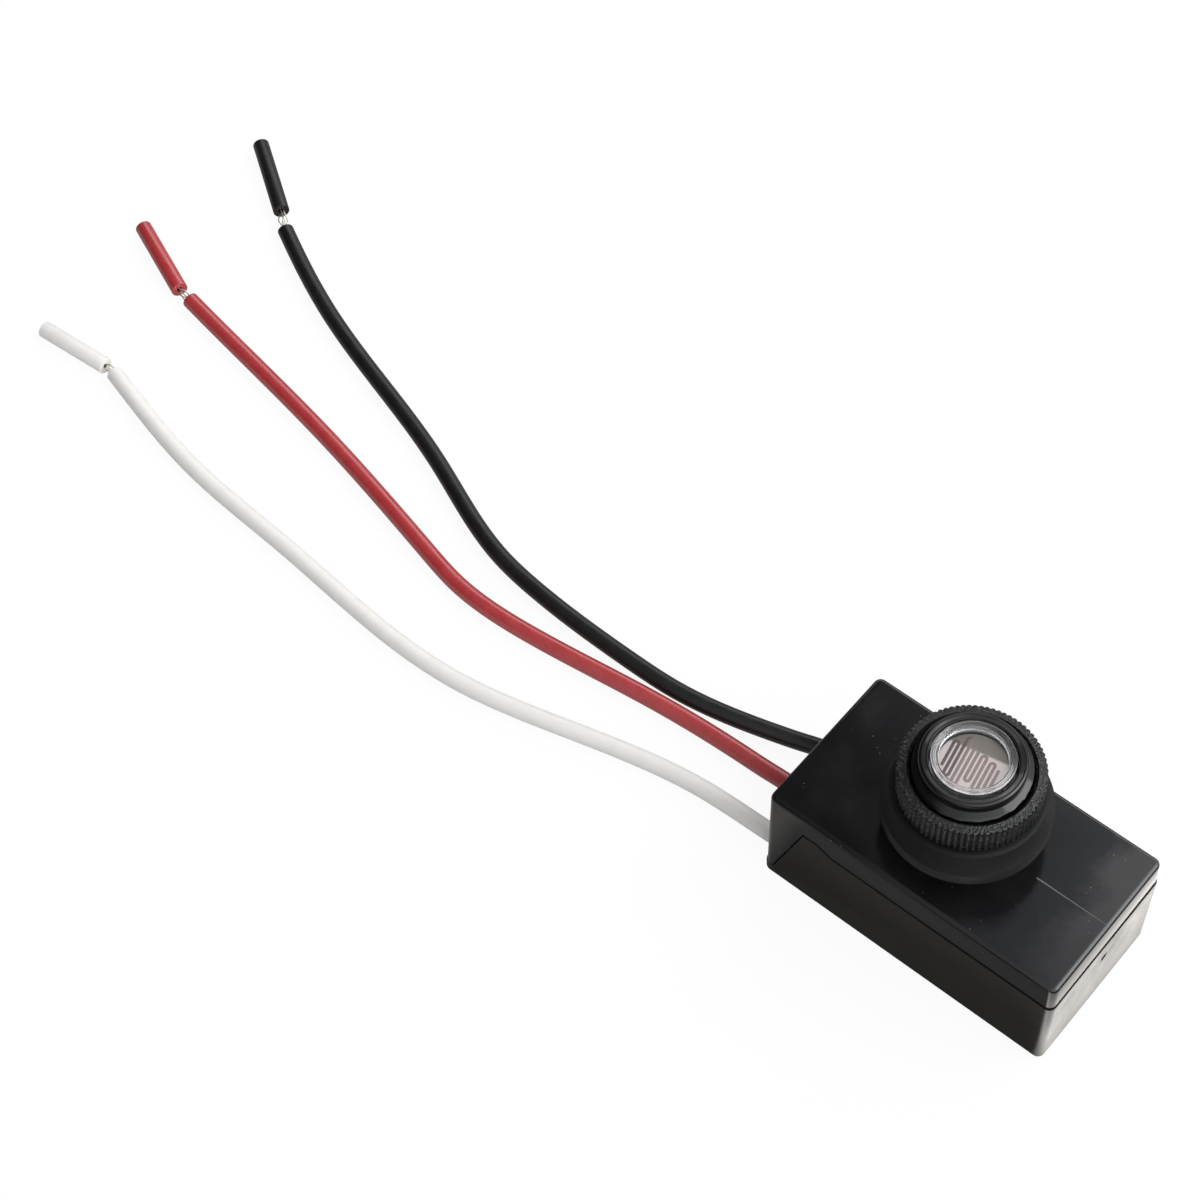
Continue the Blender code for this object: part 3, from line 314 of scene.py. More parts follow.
def blend_color(material, factor, first, second):
    """Mix of two colours, either of which may be a socket."""
    node = add_node(material, "ShaderNodeMix", data_type="RGBA")
    inputs = {socket.identifier: socket for socket in node.inputs}
    for name, value in (("Factor_Float", factor), ("A_Color", first), ("B_Color", second)):
        if isinstance(value, bpy.types.NodeSocket):
            material.node_tree.links.new(value, inputs[name])
        elif isinstance(value, tuple):
            inputs[name].default_value = (*value, 1.0)
        else:
            inputs[name].default_value = value
    return [socket for socket in node.outputs if socket.identifier == "Result_Color"][0]


def feed(material, name, value):
    material.node_tree.links.new(value, shader_of(material).inputs[name])


def bump(material, height, distance, strength=1.0):
    """Raise the surface by a height socket, on top of any bump already there."""
    node = add_node(material, "ShaderNodeBump")
    node.inputs["Distance"].default_value = distance * MM
    node.inputs["Strength"].default_value = strength
    links = material.node_tree.links
    links.new(height, node.inputs["Height"])
    normal = shader_of(material).inputs["Normal"]
    if normal.is_linked:
        links.new(normal.links[0].from_socket, node.inputs["Normal"])
    links.new(node.outputs["Normal"], normal)


def gloss_black():
    """Polished black moulding with handling smears, a few dust specks, faint rub marks, and painted light as
    a pale film at the plate's right end.
    """
    base = (0.007, 0.007, 0.0076)
    material = new_material("gloss_black", base, 0.2)
    smear = spread(material, noise(material, 11.0, 4.0, 0.6), 0.45, 0.72, 0.0, 1.0)
    rub = spread(material, noise(material, 0.7, 3.0, 0.6, (0.12, 1.0, 1.0), 24.0), 0.6, 0.8, 0.0, 1.0)
    place = place_in(material)
    wander = times(material, noise(material, 6.0, 3.0, 0.6), 11.0)
    # Painted light: a pale film on the plate's right end, stronger towards the back; partly smudge, partly a
    # painted reflection of the bright side
    smudge_and_painted_light = spread(material, math_node(material, "ADD", place["X"], wander), *SMUDGE_LIGHT_END, 0.0, 1.0)
    smudge_and_painted_light = times(material, smudge_and_painted_light, spread(material, place["Z"], *SMUDGE_LIGHT_HEIGHT, 0.0, 1.0))
    smudge_and_painted_light = times(material, smudge_and_painted_light, spread(material, place["Y"], *SMUDGE_LIGHT_FRONT, 0.35, 1.0))
    dust = times(material, specks(material, 1.4, 0.075),
                 spread(material, noise(material, 5.0, 2.0), 0.5, 0.56, 0.0, 1.0))
    film = blend_color(material, times(material, smear, 0.25), base, (0.02, 0.02, 0.021))
    film = blend_color(material, smudge_and_painted_light, film, (0.034, 0.033, 0.034))
    feed(material, "Base Color", blend_color(material, times(material, dust, 0.6), film, (0.3, 0.3, 0.3)))
    rough = math_node(material, "ADD", spread(material, smear, 0.0, 1.0, 0.15, 0.26),
                      times(material, rub, 0.05))
    feed(material, "Roughness", math_node(material, "ADD", rough, times(material, smudge_and_painted_light, 0.14)))
    bump(material, noise(material, 1.8, 2.0), 0.003)
    return material


def satin_black():
    """Lower shell: the same moulding compound from a duller tool, a little warm."""
    material = new_material("satin_black", (0.0125, 0.0113, 0.0102), 0.32)
    patch = noise(material, 6.0, 4.0, 0.6)
    feed(material, "Base Color", blend_color(material, patch, (0.0115, 0.0104, 0.0094),
                                             (0.015, 0.0136, 0.0124)))
    feed(material, "Roughness", spread(material, patch, 0.3, 0.7, 0.26, 0.38))
    bump(material, noise(material, 0.25, 2.0), 0.004)
    return material


def stem_black():
    """Smooth moulded thread and mouth, with an uneven gloss."""
    material = new_material("stem_black", (0.006, 0.006, 0.0063), 0.12)
    shader_of(material).inputs["Specular IOR Level"].default_value = 0.42
    patch = noise(material, 1.5, 3.0)
    feed(material, "Roughness", spread(material, patch, 0.3, 0.7, 0.08, 0.17))
    feed(material, "Base Color", blend_color(material, patch, (0.005, 0.005, 0.0052),
                                             (0.0085, 0.0083, 0.0085)))
    bump(material, noise(material, 1.1, 3.0), 0.012)
    return material


def nut_black():
    """Grained nut whose face catches the light in small sparks, with a smooth turned bore."""
    material = new_material("nut_black", (0.009, 0.009, 0.0093), 0.4)
    place = place_in(material)
    outer = spread(material, from_axis(material, place), *NUT_GRAIN_SQUARES, 0.0, 1.0)
    grain = noise(material, 0.42, 2.0, 0.7)
    top = (NUT_HIGH.z - NUT_CROWN) / MM
    outer = times(material, outer, spread(material, place["Z"], top - 0.5, top - 0.2, 0.1, 1.0))
    toward = math_node(material, "ADD", place["X"], place["Y"])
    outer = times(material, outer, spread(material, toward, *NUT_GRAIN_LIT, 0.35, 1.0))
    feed(material, "Base Color", blend_color(material, spread(material, grain, 0.5, 0.66, 0.0, 1.0),
                                             (0.004, 0.004, 0.0042), (0.045, 0.045, 0.046)))
    feed(material, "Roughness", spread(material, grain, 0.35, 0.65, 0.4, 0.22))
    bump(material, times(material, grain, outer), 0.36)
    return material


def rubber_black():
    """Rubber, smoother on the gasket's flat rim than on its cone, whose near-black colour is painted shade
    under the nut.
    """
    material = new_material("rubber_black", (0.008, 0.008, 0.008), 0.6)
    shader_of(material).inputs["Specular IOR Level"].default_value = 0.3
    place = place_in(material)
    # Painted shade: the cone under the nut is near-black, darker than the rim
    cone = (GASKET_LOW.z + GASKET_BAND) / MM
    over = spread(material, place["Z"], cone - 0.3, cone + 0.1, 0.0, 1.0)
    patch = noise(material, 3.0, 4.0, 0.6)
    rim = blend_color(material, patch, (0.013, 0.013, 0.013), (0.0175, 0.0171, 0.0167))
    feed(material, "Base Color", blend_color(material, over, rim, (0.003, 0.003, 0.003)))
    feed(material, "Roughness", math_node(material, "ADD", spread(material, patch, 0.3, 0.7, 0.42, 0.52),
                                          times(material, over, 0.22)))
    bump(material, noise(material, 0.12, 2.0), 0.006)
    return material


def clear_plastic():
    """Clear moulded lens that lets light through to the cell, with painted light on the front side of its
    rim.
    """
    material = new_material("clear_plastic", (0.96, 0.965, 0.97), 0.03)
    shader = shader_of(material)
    shader.inputs["IOR"].default_value = 1.49
    links = material.node_tree.links
    place = place_in(material)
    rim = spread(material, from_axis(material, place), *LENS_RIM_SQUARES, 0.0, 1.0)
    swirl = noise(material, 1.6, 3.0)
    feed(material, "Roughness", math_node(material, "ADD", spread(material, swirl, 0.45, 0.75, 0.02, 0.09),
                                          times(material, rim, 0.12)))
    # Painted light: the rim is made less clear, and so paler, on its front side than at its back
    painted_rim_light = times(material, rim, spread(material, place["Y"], *LENS_PAINTED_LIGHT, 0.07, 0.01))
    feed(material, "Transmission Weight", math_node(material, "SUBTRACT", 1.0, painted_rim_light))
    bump(material, swirl, 0.02)
    clear = add_node(material, "ShaderNodeBsdfTransparent")
    path = add_node(material, "ShaderNodeLightPath")
    mix = add_node(material, "ShaderNodeMixShader")
    output = material.node_tree.nodes["Material Output"]
    links.new(path.outputs["Is Shadow Ray"], mix.inputs["Fac"])
    links.new(shader.outputs["BSDF"], mix.inputs[1])
    links.new(clear.outputs["BSDF"], mix.inputs[2])
    links.new(mix.outputs["Shader"], output.inputs["Surface"])
    return material


def cell_face():
    """Cell's ceramic: pale mauve electrodes inside a tan border."""
    material = new_material("cell_face", (0.4, 0.33, 0.31), 0.35)
    place = place_in(material, turn=-TRACK_TURN)
    grain = noise(material, 0.3, 2.0)
    mauve = blend_color(material, grain, (0.5, 0.43, 0.41), (0.64, 0.56, 0.54))
    tan = blend_color(material, grain, (0.1, 0.083, 0.066), (0.17, 0.145, 0.115))
    edge = spread(material, place["Y"], *CELL_BORDER, 0.0, 1.0)
    feed(material, "Base Color", blend_color(material, edge, mauve, tan))
    bump(material, grain, 0.01)
    return material


def track_red():
    """Dark red-brown sulphide track."""
    material = new_material("track_red", (0.12, 0.08, 0.075), 0.4)
    place = place_in(material, turn=-TRACK_TURN)
    grain = noise(material, 0.25, 2.0)
    pale = blend_color(material, grain, (0.14, 0.1, 0.095), (0.24, 0.18, 0.17))
    dark = blend_color(material, grain, (0.035, 0.017, 0.014), (0.075, 0.04, 0.034))
    feed(material, "Base Color", blend_color(material, spread(material, place["X"], *TRACK_PALE, 0.0, 1.0),
                                             dark, pale))
    bump(material, grain, 0.01)
    return material


def tinned_copper():
    """Bright tinned wire with uneven wear."""
    material = new_material("tinned_copper", (0.78, 0.76, 0.71), 0.25, 1.0)
    grain = noise(material, 0.3, 3.0)
    feed(material, "Base Color", blend_color(material, grain, (0.62, 0.58, 0.52), (0.85, 0.83, 0.79)))
    feed(material, "Roughness", spread(material, grain, 0.3, 0.7, 0.2, 0.38))
    bump(material, noise(material, 0.1, 2.0), 0.004)
    return material


def insulation(name, low, high, roughness, soil, soil_amount, specular):
    """Extruded insulation with a faint haul-off grain and soiled patches."""
    material = new_material(name, high, roughness)
    shader_of(material).inputs["Specular IOR Level"].default_value = specular
    patch = noise(material, 2.2, 4.0, 0.6)
    color = blend_color(material, patch, low, high)
    spot = spread(material, noise(material, 0.9, 3.0, 0.6), 0.64, 0.74, 0.0, soil_amount)
    feed(material, "Base Color", blend_color(material, spot, color, soil))
    feed(material, "Roughness", spread(material, patch, 0.3, 0.7, roughness - 0.06, roughness + 0.08))
    bump(material, noise(material, 0.8, 2.0), 0.002)
    return material


def moulded(name, low, high, roughness, grain, metallic=0.0):
    """Plain finish for the pieces inside: mottled colour and a fine grain."""
    material = new_material(name, high, roughness, metallic)
    patch = noise(material, grain * 6.0, 3.0)
    feed(material, "Base Color", blend_color(material, patch, low, high))
    feed(material, "Roughness", spread(material, patch, 0.3, 0.7, roughness - 0.06, roughness + 0.06))
    bump(material, noise(material, grain, 2.0), grain * 0.05)
    return material


def banded_resistor():
    """Tan lacquer with the plain colour rings of a resistor."""
    material = moulded("banded_resistor", (0.5, 0.38, 0.22), (0.66, 0.53, 0.34), 0.35, 0.2)
    wave = add_node(material, "ShaderNodeTexWave", bands_direction="X")
    wave.inputs["Scale"].default_value = 0.24
    material.node_tree.links.new(object_point(material), wave.inputs["Vector"])
    ring = spread(material, wave.outputs["Fac"], 0.86, 0.9, 0.0, 1.0)
    plain = shader_of(material).inputs["Base Color"].links[0].from_socket
    feed(material, "Base Color", blend_color(material, ring, plain, (0.3, 0.05, 0.02)))
    return material


def link_mesh(name, builder, material, node=None):
    """Finish a piece: smooth round faces, its material and its body, and hide the node it stands for."""
    bmesh.ops.recalc_face_normals(builder, faces=builder.faces)
    mesh = bpy.data.meshes.new(name)
    builder.to_mesh(mesh)
    builder.free()
    mesh.materials.append(material)
    mesh.shade_smooth()
    mesh.set_sharp_from_angle(angle=math.radians(SHARP_ANGLE))
    piece = bpy.data.objects.new(name, mesh)
    bpy.context.scene.collection.objects.link(piece)
    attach(piece, "root")
    if node:
        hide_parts(node)
    return piece


def ring_strip(builder, rings, close_round=True, close_loop=False):
    """Quads between neighbouring rings of points."""
    rows = [[builder.verts.new(point) for point in ring] for ring in rings]
    pairs = list(zip(rows, rows[1:]))
    if close_loop:
        pairs.append((rows[-1], rows[0]))
    count = len(rows[0])
    for first, second in pairs:
        for i in range(count if close_round else count - 1):
            j = (i + 1) % count
            builder.faces.new((first[i], first[j], second[j], second[i]))
    return rows


def capped_strip(builder, rings):
    """Strip of closed rings whose first and last ring are filled."""
    rows = ring_strip(builder, rings)
    builder.faces.new(rows[0])
    builder.faces.new(rows[-1])


def turned_disc(profile, steps):
    """Solid turned from radius and height points, closed by flat ends."""
    turns = [math.tau * step / steps for step in range(steps)]
    builder = bmesh.new()
    capped_strip(builder, [[(radius * math.cos(turn), radius * math.sin(turn), height) for turn in turns]
                           for radius, height in profile])
    return builder


def turned_ring(profile, steps, shape=None):
    """Closed ring turned from radius and height points, its radius changed by an optional shape function."""
    builder = bmesh.new()
    rings = []
    for radius, height in profile:
        ring = []
        for step in range(steps):
            angle = math.tau * step / steps
            here = shape(radius, height, angle) if shape else radius
            ring.append((here * math.cos(angle), here * math.sin(angle), height))
        rings.append(ring)
    ring_strip(builder, rings, close_loop=True)
    return builder


def arc(center, radius, start, end, steps=5):
    """Points of a round edge in a profile, angles in degrees."""
    points = []
    for step in range(steps + 1):
        angle = math.radians(start + (end - start) * step / steps)
        points.append((center[0] + radius * math.cos(angle), center[1] + radius * math.sin(angle)))
    return points


def dressed_copy(node, name, material, keep=None):
    """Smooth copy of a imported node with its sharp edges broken, minus the faces that keep refuses."""
    builder = bmesh.new()
    builder.from_mesh(NODES[node].data)
    bmesh.ops.remove_doubles(builder, verts=builder.verts, dist=1e-7)
    if keep:
        dropped = [face for face in builder.faces if not keep(face)]
        bmesh.ops.delete(builder, geom=dropped, context="FACES")
    verts = [vert for vert in builder.verts if (vert.co / MM - Vector(GATE_PLACE)).length > NICK_REACH]
    inner = set(verts)
    edges = [edge for edge in builder.edges if inner.issuperset(edge.verts)]
    bmesh.ops.dissolve_limit(builder, angle_limit=math.radians(FLAT_ANGLE), verts=verts, edges=edges)
    settle_seam(builder, node)
    piece = link_mesh(name, builder, material, node)
    softened = piece.modifiers.new("broken_edges", "BEVEL")
    softened.width = BREAK_EDGE
    softened.segments = 2
    softened.limit_method = "ANGLE"
    softened.angle_limit = math.radians(BREAK_ANGLE)
    softened.use_clamp_overlap = True
    return piece


def settle_seam(builder, node):
    """Seam as it shows: nearly closed on the slant at the leads, a little open across the free end."""
    near_x, near_z = SEAM_NEAR
    left, low, high, opening = SEAM_END
    for vert in builder.verts:
        x, z = vert.co.x / MM, vert.co.z / MM
        for (corner_x, corner_z), shift in SEAM_SHIFTS[node]:
            if abs(x - corner_x) < near_x and abs(z - corner_z) < near_z:
                vert.co += Vector((shift[0], 0.0, shift[1])) * MM
        if x > left and abs(z - low) < near_z:
            vert.co.z -= opening * MM
        if x > left and abs(z - high) < near_z:
            vert.co.z += opening / 2 * MM


def make_gate_mark():
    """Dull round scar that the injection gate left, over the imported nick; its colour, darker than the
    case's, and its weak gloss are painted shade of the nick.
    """
    builder = bmesh.new()
    depth, length, width = GATE_SIZE
    disc = Matrix.Diagonal((depth, length, width, 1.0)) @ Matrix.Rotation(math.radians(90), 4, "Y")
    bmesh.ops.create_cone(builder, cap_ends=True, segments=GATE_STEPS, radius1=MM / 2, radius2=MM / 2,
                          depth=MM, matrix=disc)
    place = (Vector(GATE_PLACE) - Vector((GATE_INSET, 0, 0))) * MM
    turn = Matrix.Rotation(math.radians(GATE_LEAN), 4, "X")
    bmesh.ops.transform(builder, matrix=Matrix.Translation(place) @ turn, verts=builder.verts)
    # Painted shade: the scar is near-black and nearly without gloss, darker than the case around it
    scar_and_painted_shade = moulded("gate_scar_painted_shade", (0.002, 0.002, 0.002), (0.005, 0.005, 0.005), 0.9, 0.1)
    shader_of(scar_and_painted_shade).inputs["Specular IOR Level"].default_value = 0.1
    return link_mesh("gate_mark", builder, scar_and_painted_shade)


def outside_stem(face):
    """False for the faces of the stem above the plate."""
    reach = max(math.hypot(vert.co.x, vert.co.y) for vert in face.verts)
    low = min(vert.co.z for vert in face.verts)
    return low < PLATE_TOP - 1e-6 or reach > THREAD_CREST + STEM_FILLET + 1e-5


def thread_radius(height, angle):
    """Radius of a right-hand thread with flats on its crests and roots."""
    phase = (height / THREAD_PITCH - angle / math.tau) % 1.0
    slope = abs(2.0 * phase - 1.0)
    rise = (slope - THREAD_FLAT) / (1.0 - 2.0 * THREAD_FLAT)
    rise = min(1.0, max(0.0, rise))
    return THREAD_ROOT + (THREAD_CREST - THREAD_ROOT) * rise


def make_stem():
    """Threaded stem: fillet at the plate, helical thread, neck, rounded mouth and stepped bore."""
    thread_low = PLATE_TOP + STEM_FILLET
    thread_high = STEM_TOP - NECK_LENGTH
    profile = [(THREAD_CREST + STEM_FILLET, PLATE_TOP - FIT_GAP / 3)]
    profile += [(THREAD_CREST + STEM_FILLET * (1 - math.sin(turn)),
                 PLATE_TOP + STEM_FILLET * (1 - math.cos(turn)))
                for turn in (math.radians(22.5 * step) for step in range(5))]
    steps = round((thread_high - thread_low) / THREAD_STEP)
    profile += [(THREAD_CREST, thread_low + (thread_high - thread_low) * step / steps)
                for step in range(1, steps + 1)]
    profile += [(NECK_RADIUS, thread_high + (THREAD_CREST - NECK_RADIUS) * 0.5)]
    mouth = (NECK_RADIUS - MOUTH_ROUND, STEM_TOP - MOUTH_ROUND)
    profile += arc(mouth, MOUTH_ROUND, 0, 90, 6)
    seat, seat_depth = LENS_SEAT
    ledge, ledge_depth = CELL_SEAT
    pitch, depth, count = MOUTH_RIBS
    profile += [(mouth[0] - pitch * (rib + share), STEM_TOP - drop)
                for rib in range(count) for share, drop in ((0.5, depth), (1.0, 0.0))]
    profile += arc((seat + MOUTH_ROUND / 3, STEM_TOP - MOUTH_ROUND / 3), MOUTH_ROUND / 3, 90, 180, 3)
    profile += [(seat, STEM_TOP - seat_depth), (ledge, STEM_TOP - seat_depth),
                (ledge, STEM_TOP - ledge_depth), (STEM_BORE, STEM_TOP - ledge_depth),
                (STEM_BORE, PLATE_TOP - FIT_GAP / 3)]

    def shape(radius, height, angle):
        if radius != THREAD_CREST or not thread_low < height <= thread_high:
            return radius
        fade = min(1.0, (height - thread_low) / THREAD_RUNOUT, (thread_high - height) / (THREAD_RUNOUT / 3))
        return radius + (thread_radius(height, angle) - radius) * fade

    return link_mesh("threaded_stem", turned_ring(profile, STEM_STEPS, shape), stem_black(),
                     "upper_housing")


def make_nut():
    """Knurled nut, its teeth rounded over at both rims and its top falling outwards."""
    low, high, radius = NUT_LOW.z, NUT_HIGH.z, NUT_HIGH.x
    flat = radius - KNURL_DEPTH - NUT_EDGE
    shoulder = high - NUT_CROWN
    rim = [(radius - NUT_EDGE * (1 - math.sin(turn)), shoulder - NUT_EDGE * (1 - math.cos(turn)))
           for turn in (math.radians(30 * step) for step in range(3, -1, -1))]
    profile = [(NUT_BORE + NUT_BORE_CHAMFER, low), (flat, low)]
    profile += [(r, low + shoulder - z) for r, z in reversed(rim)]
    profile += rim
    profile += [(flat, shoulder), (NUT_BORE + NUT_BORE_CHAMFER, high), (NUT_BORE, high - NUT_BORE_CHAMFER),
                (NUT_BORE, low + NUT_BORE_CHAMFER)]

    def shape(r, _, angle):
        tooth = 0.5 + 0.5 * math.cos(angle * KNURL_COUNT)
        return min(r, radius - KNURL_DEPTH * (1.0 - tooth ** 0.6))

    return link_mesh("knurled_nut", turned_ring(profile, KNURL_COUNT * KNURL_STEPS, shape), nut_black(),
                     "lock_nut")


def make_gasket():
    """Rubber gasket with a flat rim below and a rounded cone over it."""
    low, high, radius = GASKET_LOW.z, GASKET_HIGH.z, GASKET_HIGH.x
    shoulder = low + GASKET_BAND
    edge = GASKET_EDGE
    profile = [(GASKET_BORE, low), (radius - edge, low)]
    profile += arc((radius - edge, low + edge), edge, -90, 0)[1:]
    profile += arc((radius - edge, shoulder - edge * 0.4), edge, 0, 55)
    profile += [(GASKET_NECK + 0.55 * edge, high - 1.7 * edge), (GASKET_NECK + 0.2 * edge, high - 0.8 * edge)]
    profile += arc((GASKET_NECK - edge, high - edge), edge, 20, 90)
    profile += [(GASKET_BORE, high)]
    return link_mesh("sealing_gasket", turned_ring(profile, GASKET_STEPS), rubber_black(),
                     "gasket")


def make_lens():
    """Clear cap with a rounded rim, a window set down inside it and a skirt."""
    radius, top, foot = LENS_HIGH.x, LENS_HIGH.z, LENS_LOW.z
    window = top - LENS_WINDOW_DEPTH
    under = window - LENS_WINDOW_THICKNESS
    edge = LENS_EDGE
    profile = [(LENS_INNER, foot), (radius, foot), (radius, top - edge)]
    profile += arc((radius - edge, top - edge), edge, 0, 90)[1:]
    pitch, depth, count = LENS_RIBS
    profile += [(radius - edge - pitch * (rib + share), top - drop)
                for rib in range(count) for share, drop in ((0.5, depth), (1.0, 0.0))]
    profile += arc((LENS_WINDOW_RADIUS + edge, window + edge), edge, 200, 250, 3)
    profile = [(LENS_INNER, under)] + profile + [(LENS_WINDOW_RADIUS - edge, window)]
    lens = link_mesh("clear_lens", turned_disc(profile, LENS_STEPS), clear_plastic(), "lens")
    for polygon in lens.data.polygons:
        polygon.use_smooth = abs(polygon.normal.z) < 0.999


def track_line():
    """Middle line of the serpentine track with round turns, in the cell's own turned axes."""
    reach = CELL_HIGH.x - TRACK_MARGIN
    last = int(reach / TRACK_PITCH)
    half = TRACK_PITCH / 2

    def back_turn(run):
        middle = (run + 0.5) * TRACK_PITCH + TRACK_SHIFT
        edge = math.sqrt(reach ** 2 - middle ** 2)
        if middle > PAD_START:
            edge = min(edge, PAD_EDGE - PAD_SLOPE * (middle - PAD_START))
        return edge - half

    def front_turn(run):
        middle = (run + 0.5) * TRACK_PITCH + TRACK_SHIFT
        edge = SHORT_TURN_EDGE if abs(middle) < SHORT_TURN_SPAN else math.sqrt(reach ** 2 - middle ** 2)
        return edge - half

    points = []
    for run in range(-last, last + 1):
        x = run * TRACK_PITCH + TRACK_SHIFT
        backwards = (run + last) % 2 == 0
        before, after = max(run - 1, -last), min(run, last - 1)
        front, back = (before, after) if backwards else (after, before)
        ends = [(x, -front_turn(front)), (x, back_turn(back))]
        points += ends if backwards else reversed(ends)
        if run < last:
            up = 1 if backwards else -1
            points += [(x + half - half * math.cos(turn), points[-1][1] + up * half * math.sin(turn))
                       for turn in (math.pi * step / 8 for step in range(1, 8))]
    return points


def make_cell():
    """Cell disc with the track lying on its face as a thin raised band."""
    low, high, radius = CELL_LOW.z, CELL_HIGH.z, CELL_HIGH.x
    edge = CELL_EDGE
    profile = [(radius - edge, low), (radius, low + edge), (radius, high - edge),
               (radius - edge * 0.3, high - edge * 0.3), (radius - edge, high - TRACK_RISE)]
    link_mesh("cell_disc", turned_disc(profile, CELL_STEPS), cell_face(), "photocell")
    builder = bmesh.new()
    line = [Vector((x, y, 0.0)) for x, y in track_line()]
    half = TRACK_WIDTH / 2
    bottom, top = Vector((0, 0, high - TRACK_RISE * 2)), Vector((0, 0, high))
    sections = []
    for i, point in enumerate(line):
        ahead = line[min(i + 1, len(line) - 1)] - point
        behind = point - line[max(i - 1, 0)]
        along = (ahead.normalized() + behind.normalized()).normalized()
        side = Vector((-along.y, along.x, 0.0)) * half
        left, right = point - side, point + side
        sections.append([left + bottom, left + top, right + top, right + bottom])
    capped_strip(builder, sections)
    turn = Matrix.Rotation(math.radians(TRACK_TURN), 4, "Z")
    bmesh.ops.transform(builder, matrix=turn, verts=builder.verts)
    link_mesh("cell_track", builder, track_red(), "photocell")


def spline_points(route, spacing):
    """Evenly read points of the smooth curve through a route, ends included."""
    knots = np.array([tuple(point) for point in route])
    reach = np.concatenate([[0.0], np.cumsum(np.linalg.norm(np.diff(knots, axis=0), axis=1))])
    spans = np.diff(reach)
    count = len(knots)
    system = np.eye(count)
    wanted = np.zeros_like(knots)
    for i in range(1, count - 1):
        system[i, i - 1:i + 2] = spans[i - 1], 2 * (spans[i - 1] + spans[i]), spans[i]
        wanted[i] = 6 * ((knots[i + 1] - knots[i]) / spans[i] - (knots[i] - knots[i - 1]) / spans[i - 1])
    bends = np.linalg.solve(system, wanted)
    points = []
    for distance in np.linspace(0.0, reach[-1], round(reach[-1] / spacing) + 1):
        i = min(int(np.searchsorted(reach, distance, side="right")) - 1, count - 2)
        back = (reach[i + 1] - distance) / spans[i]
        on = 1 - back
        curl = ((back ** 3 - back) * bends[i] + (on ** 3 - on) * bends[i + 1]) * spans[i] ** 2 / 6
        points.append(Vector(back * knots[i] + on * knots[i + 1] + curl))
    return points


def tube(builder, path, radius, sides):
    """Round wire along a path with flat ends."""
    points = [Vector(point) for point in path]
    side = None
    rings = []
    for i, point in enumerate(points):
        along = (points[min(i + 1, len(points) - 1)] - points[max(i - 1, 0)]).normalized()
        if side is None:
            side = along.orthogonal().normalized()
        side = (side - along * side.dot(along)).normalized()
        other = along.cross(side)
        rings.append([point + radius * (side * math.cos(turn) + other * math.sin(turn))
                      for turn in (math.tau * k / sides for k in range(sides))])
    capped_strip(builder, rings)


def flat_point(place):
    """Middle of a lead that lies on the floor at a place in millimetres."""
    return Vector((place[0] * MM, place[1] * MM, LEAD_RADIUS))


def make_slug(name, ends, material, node):
    """Cut length of insulation with an open bore and slightly rounded cuts."""
    near, far = (flat_point(place) for place in ends)
    length = (far - near).length
    edge = SLUG_EDGE
    profile = arc((LEAD_RADIUS - edge, edge), edge, -90, 0, 4)
    profile += arc((LEAD_RADIUS - edge, length - edge), edge, 0, 90, 4)
    profile += [(SLUG_BORE + edge / 2, length), (SLUG_BORE, length - edge / 2), (SLUG_BORE, edge / 2),
                (SLUG_BORE + edge / 2, 0.0)]
    builder = turned_ring(profile, SLUG_STEPS)
    turn = Vector((0, 0, 1)).rotation_difference(far - near).to_matrix().to_4x4()
    bmesh.ops.transform(builder, matrix=Matrix.Translation(near) @ turn, verts=builder.verts)
    return link_mesh(name, builder, material, node)


def make_strand(name, route, ends, node, material):
    """Bundle of twisted filaments from the insulation's end into the slug, loosest in the bare gap."""
    last, before = flat_point(route[-1]), flat_point(route[-2])
    near, far = (flat_point(place) for place in ends)
    out = (last - before).normalized()
    into = (far - near).normalized()
    start = last - out * STRAND_START
    line = spline_points([start, last + out * STRAND_OVERRUN, near - into * STRAND_OVERRUN,
                          near + into * STRAND_INSIDE], STRAND_STEP)
    bare = (last + near) / 2
    builder = bmesh.new()
    for strand in range(STRAND_COUNT):
        path = []
        for i, point in enumerate(line):
            along = (line[min(i + 1, len(line) - 1)] - line[max(i - 1, 0)]).normalized()
            side = along.cross(Vector((0, 0, 1))).normalized()
            up = side.cross(along)
            distance = (point - start).length
            loose = 1.0 + STRAND_LOOSENING * math.exp(-((point - bare).length / STRAND_LOOSE_REACH) ** 2)
            angle = math.tau * (strand / (STRAND_COUNT - 1) + distance / STRAND_TWIST)
            lay = 0.0 if strand == STRAND_COUNT - 1 else STRAND_LAY * loose
            path.append(point + lay * (side * math.cos(angle) + up * math.sin(angle)))
        tube(builder, path, STRAND_RADIUS, STRAND_SIDES)
    return link_mesh(name, builder, material, node)


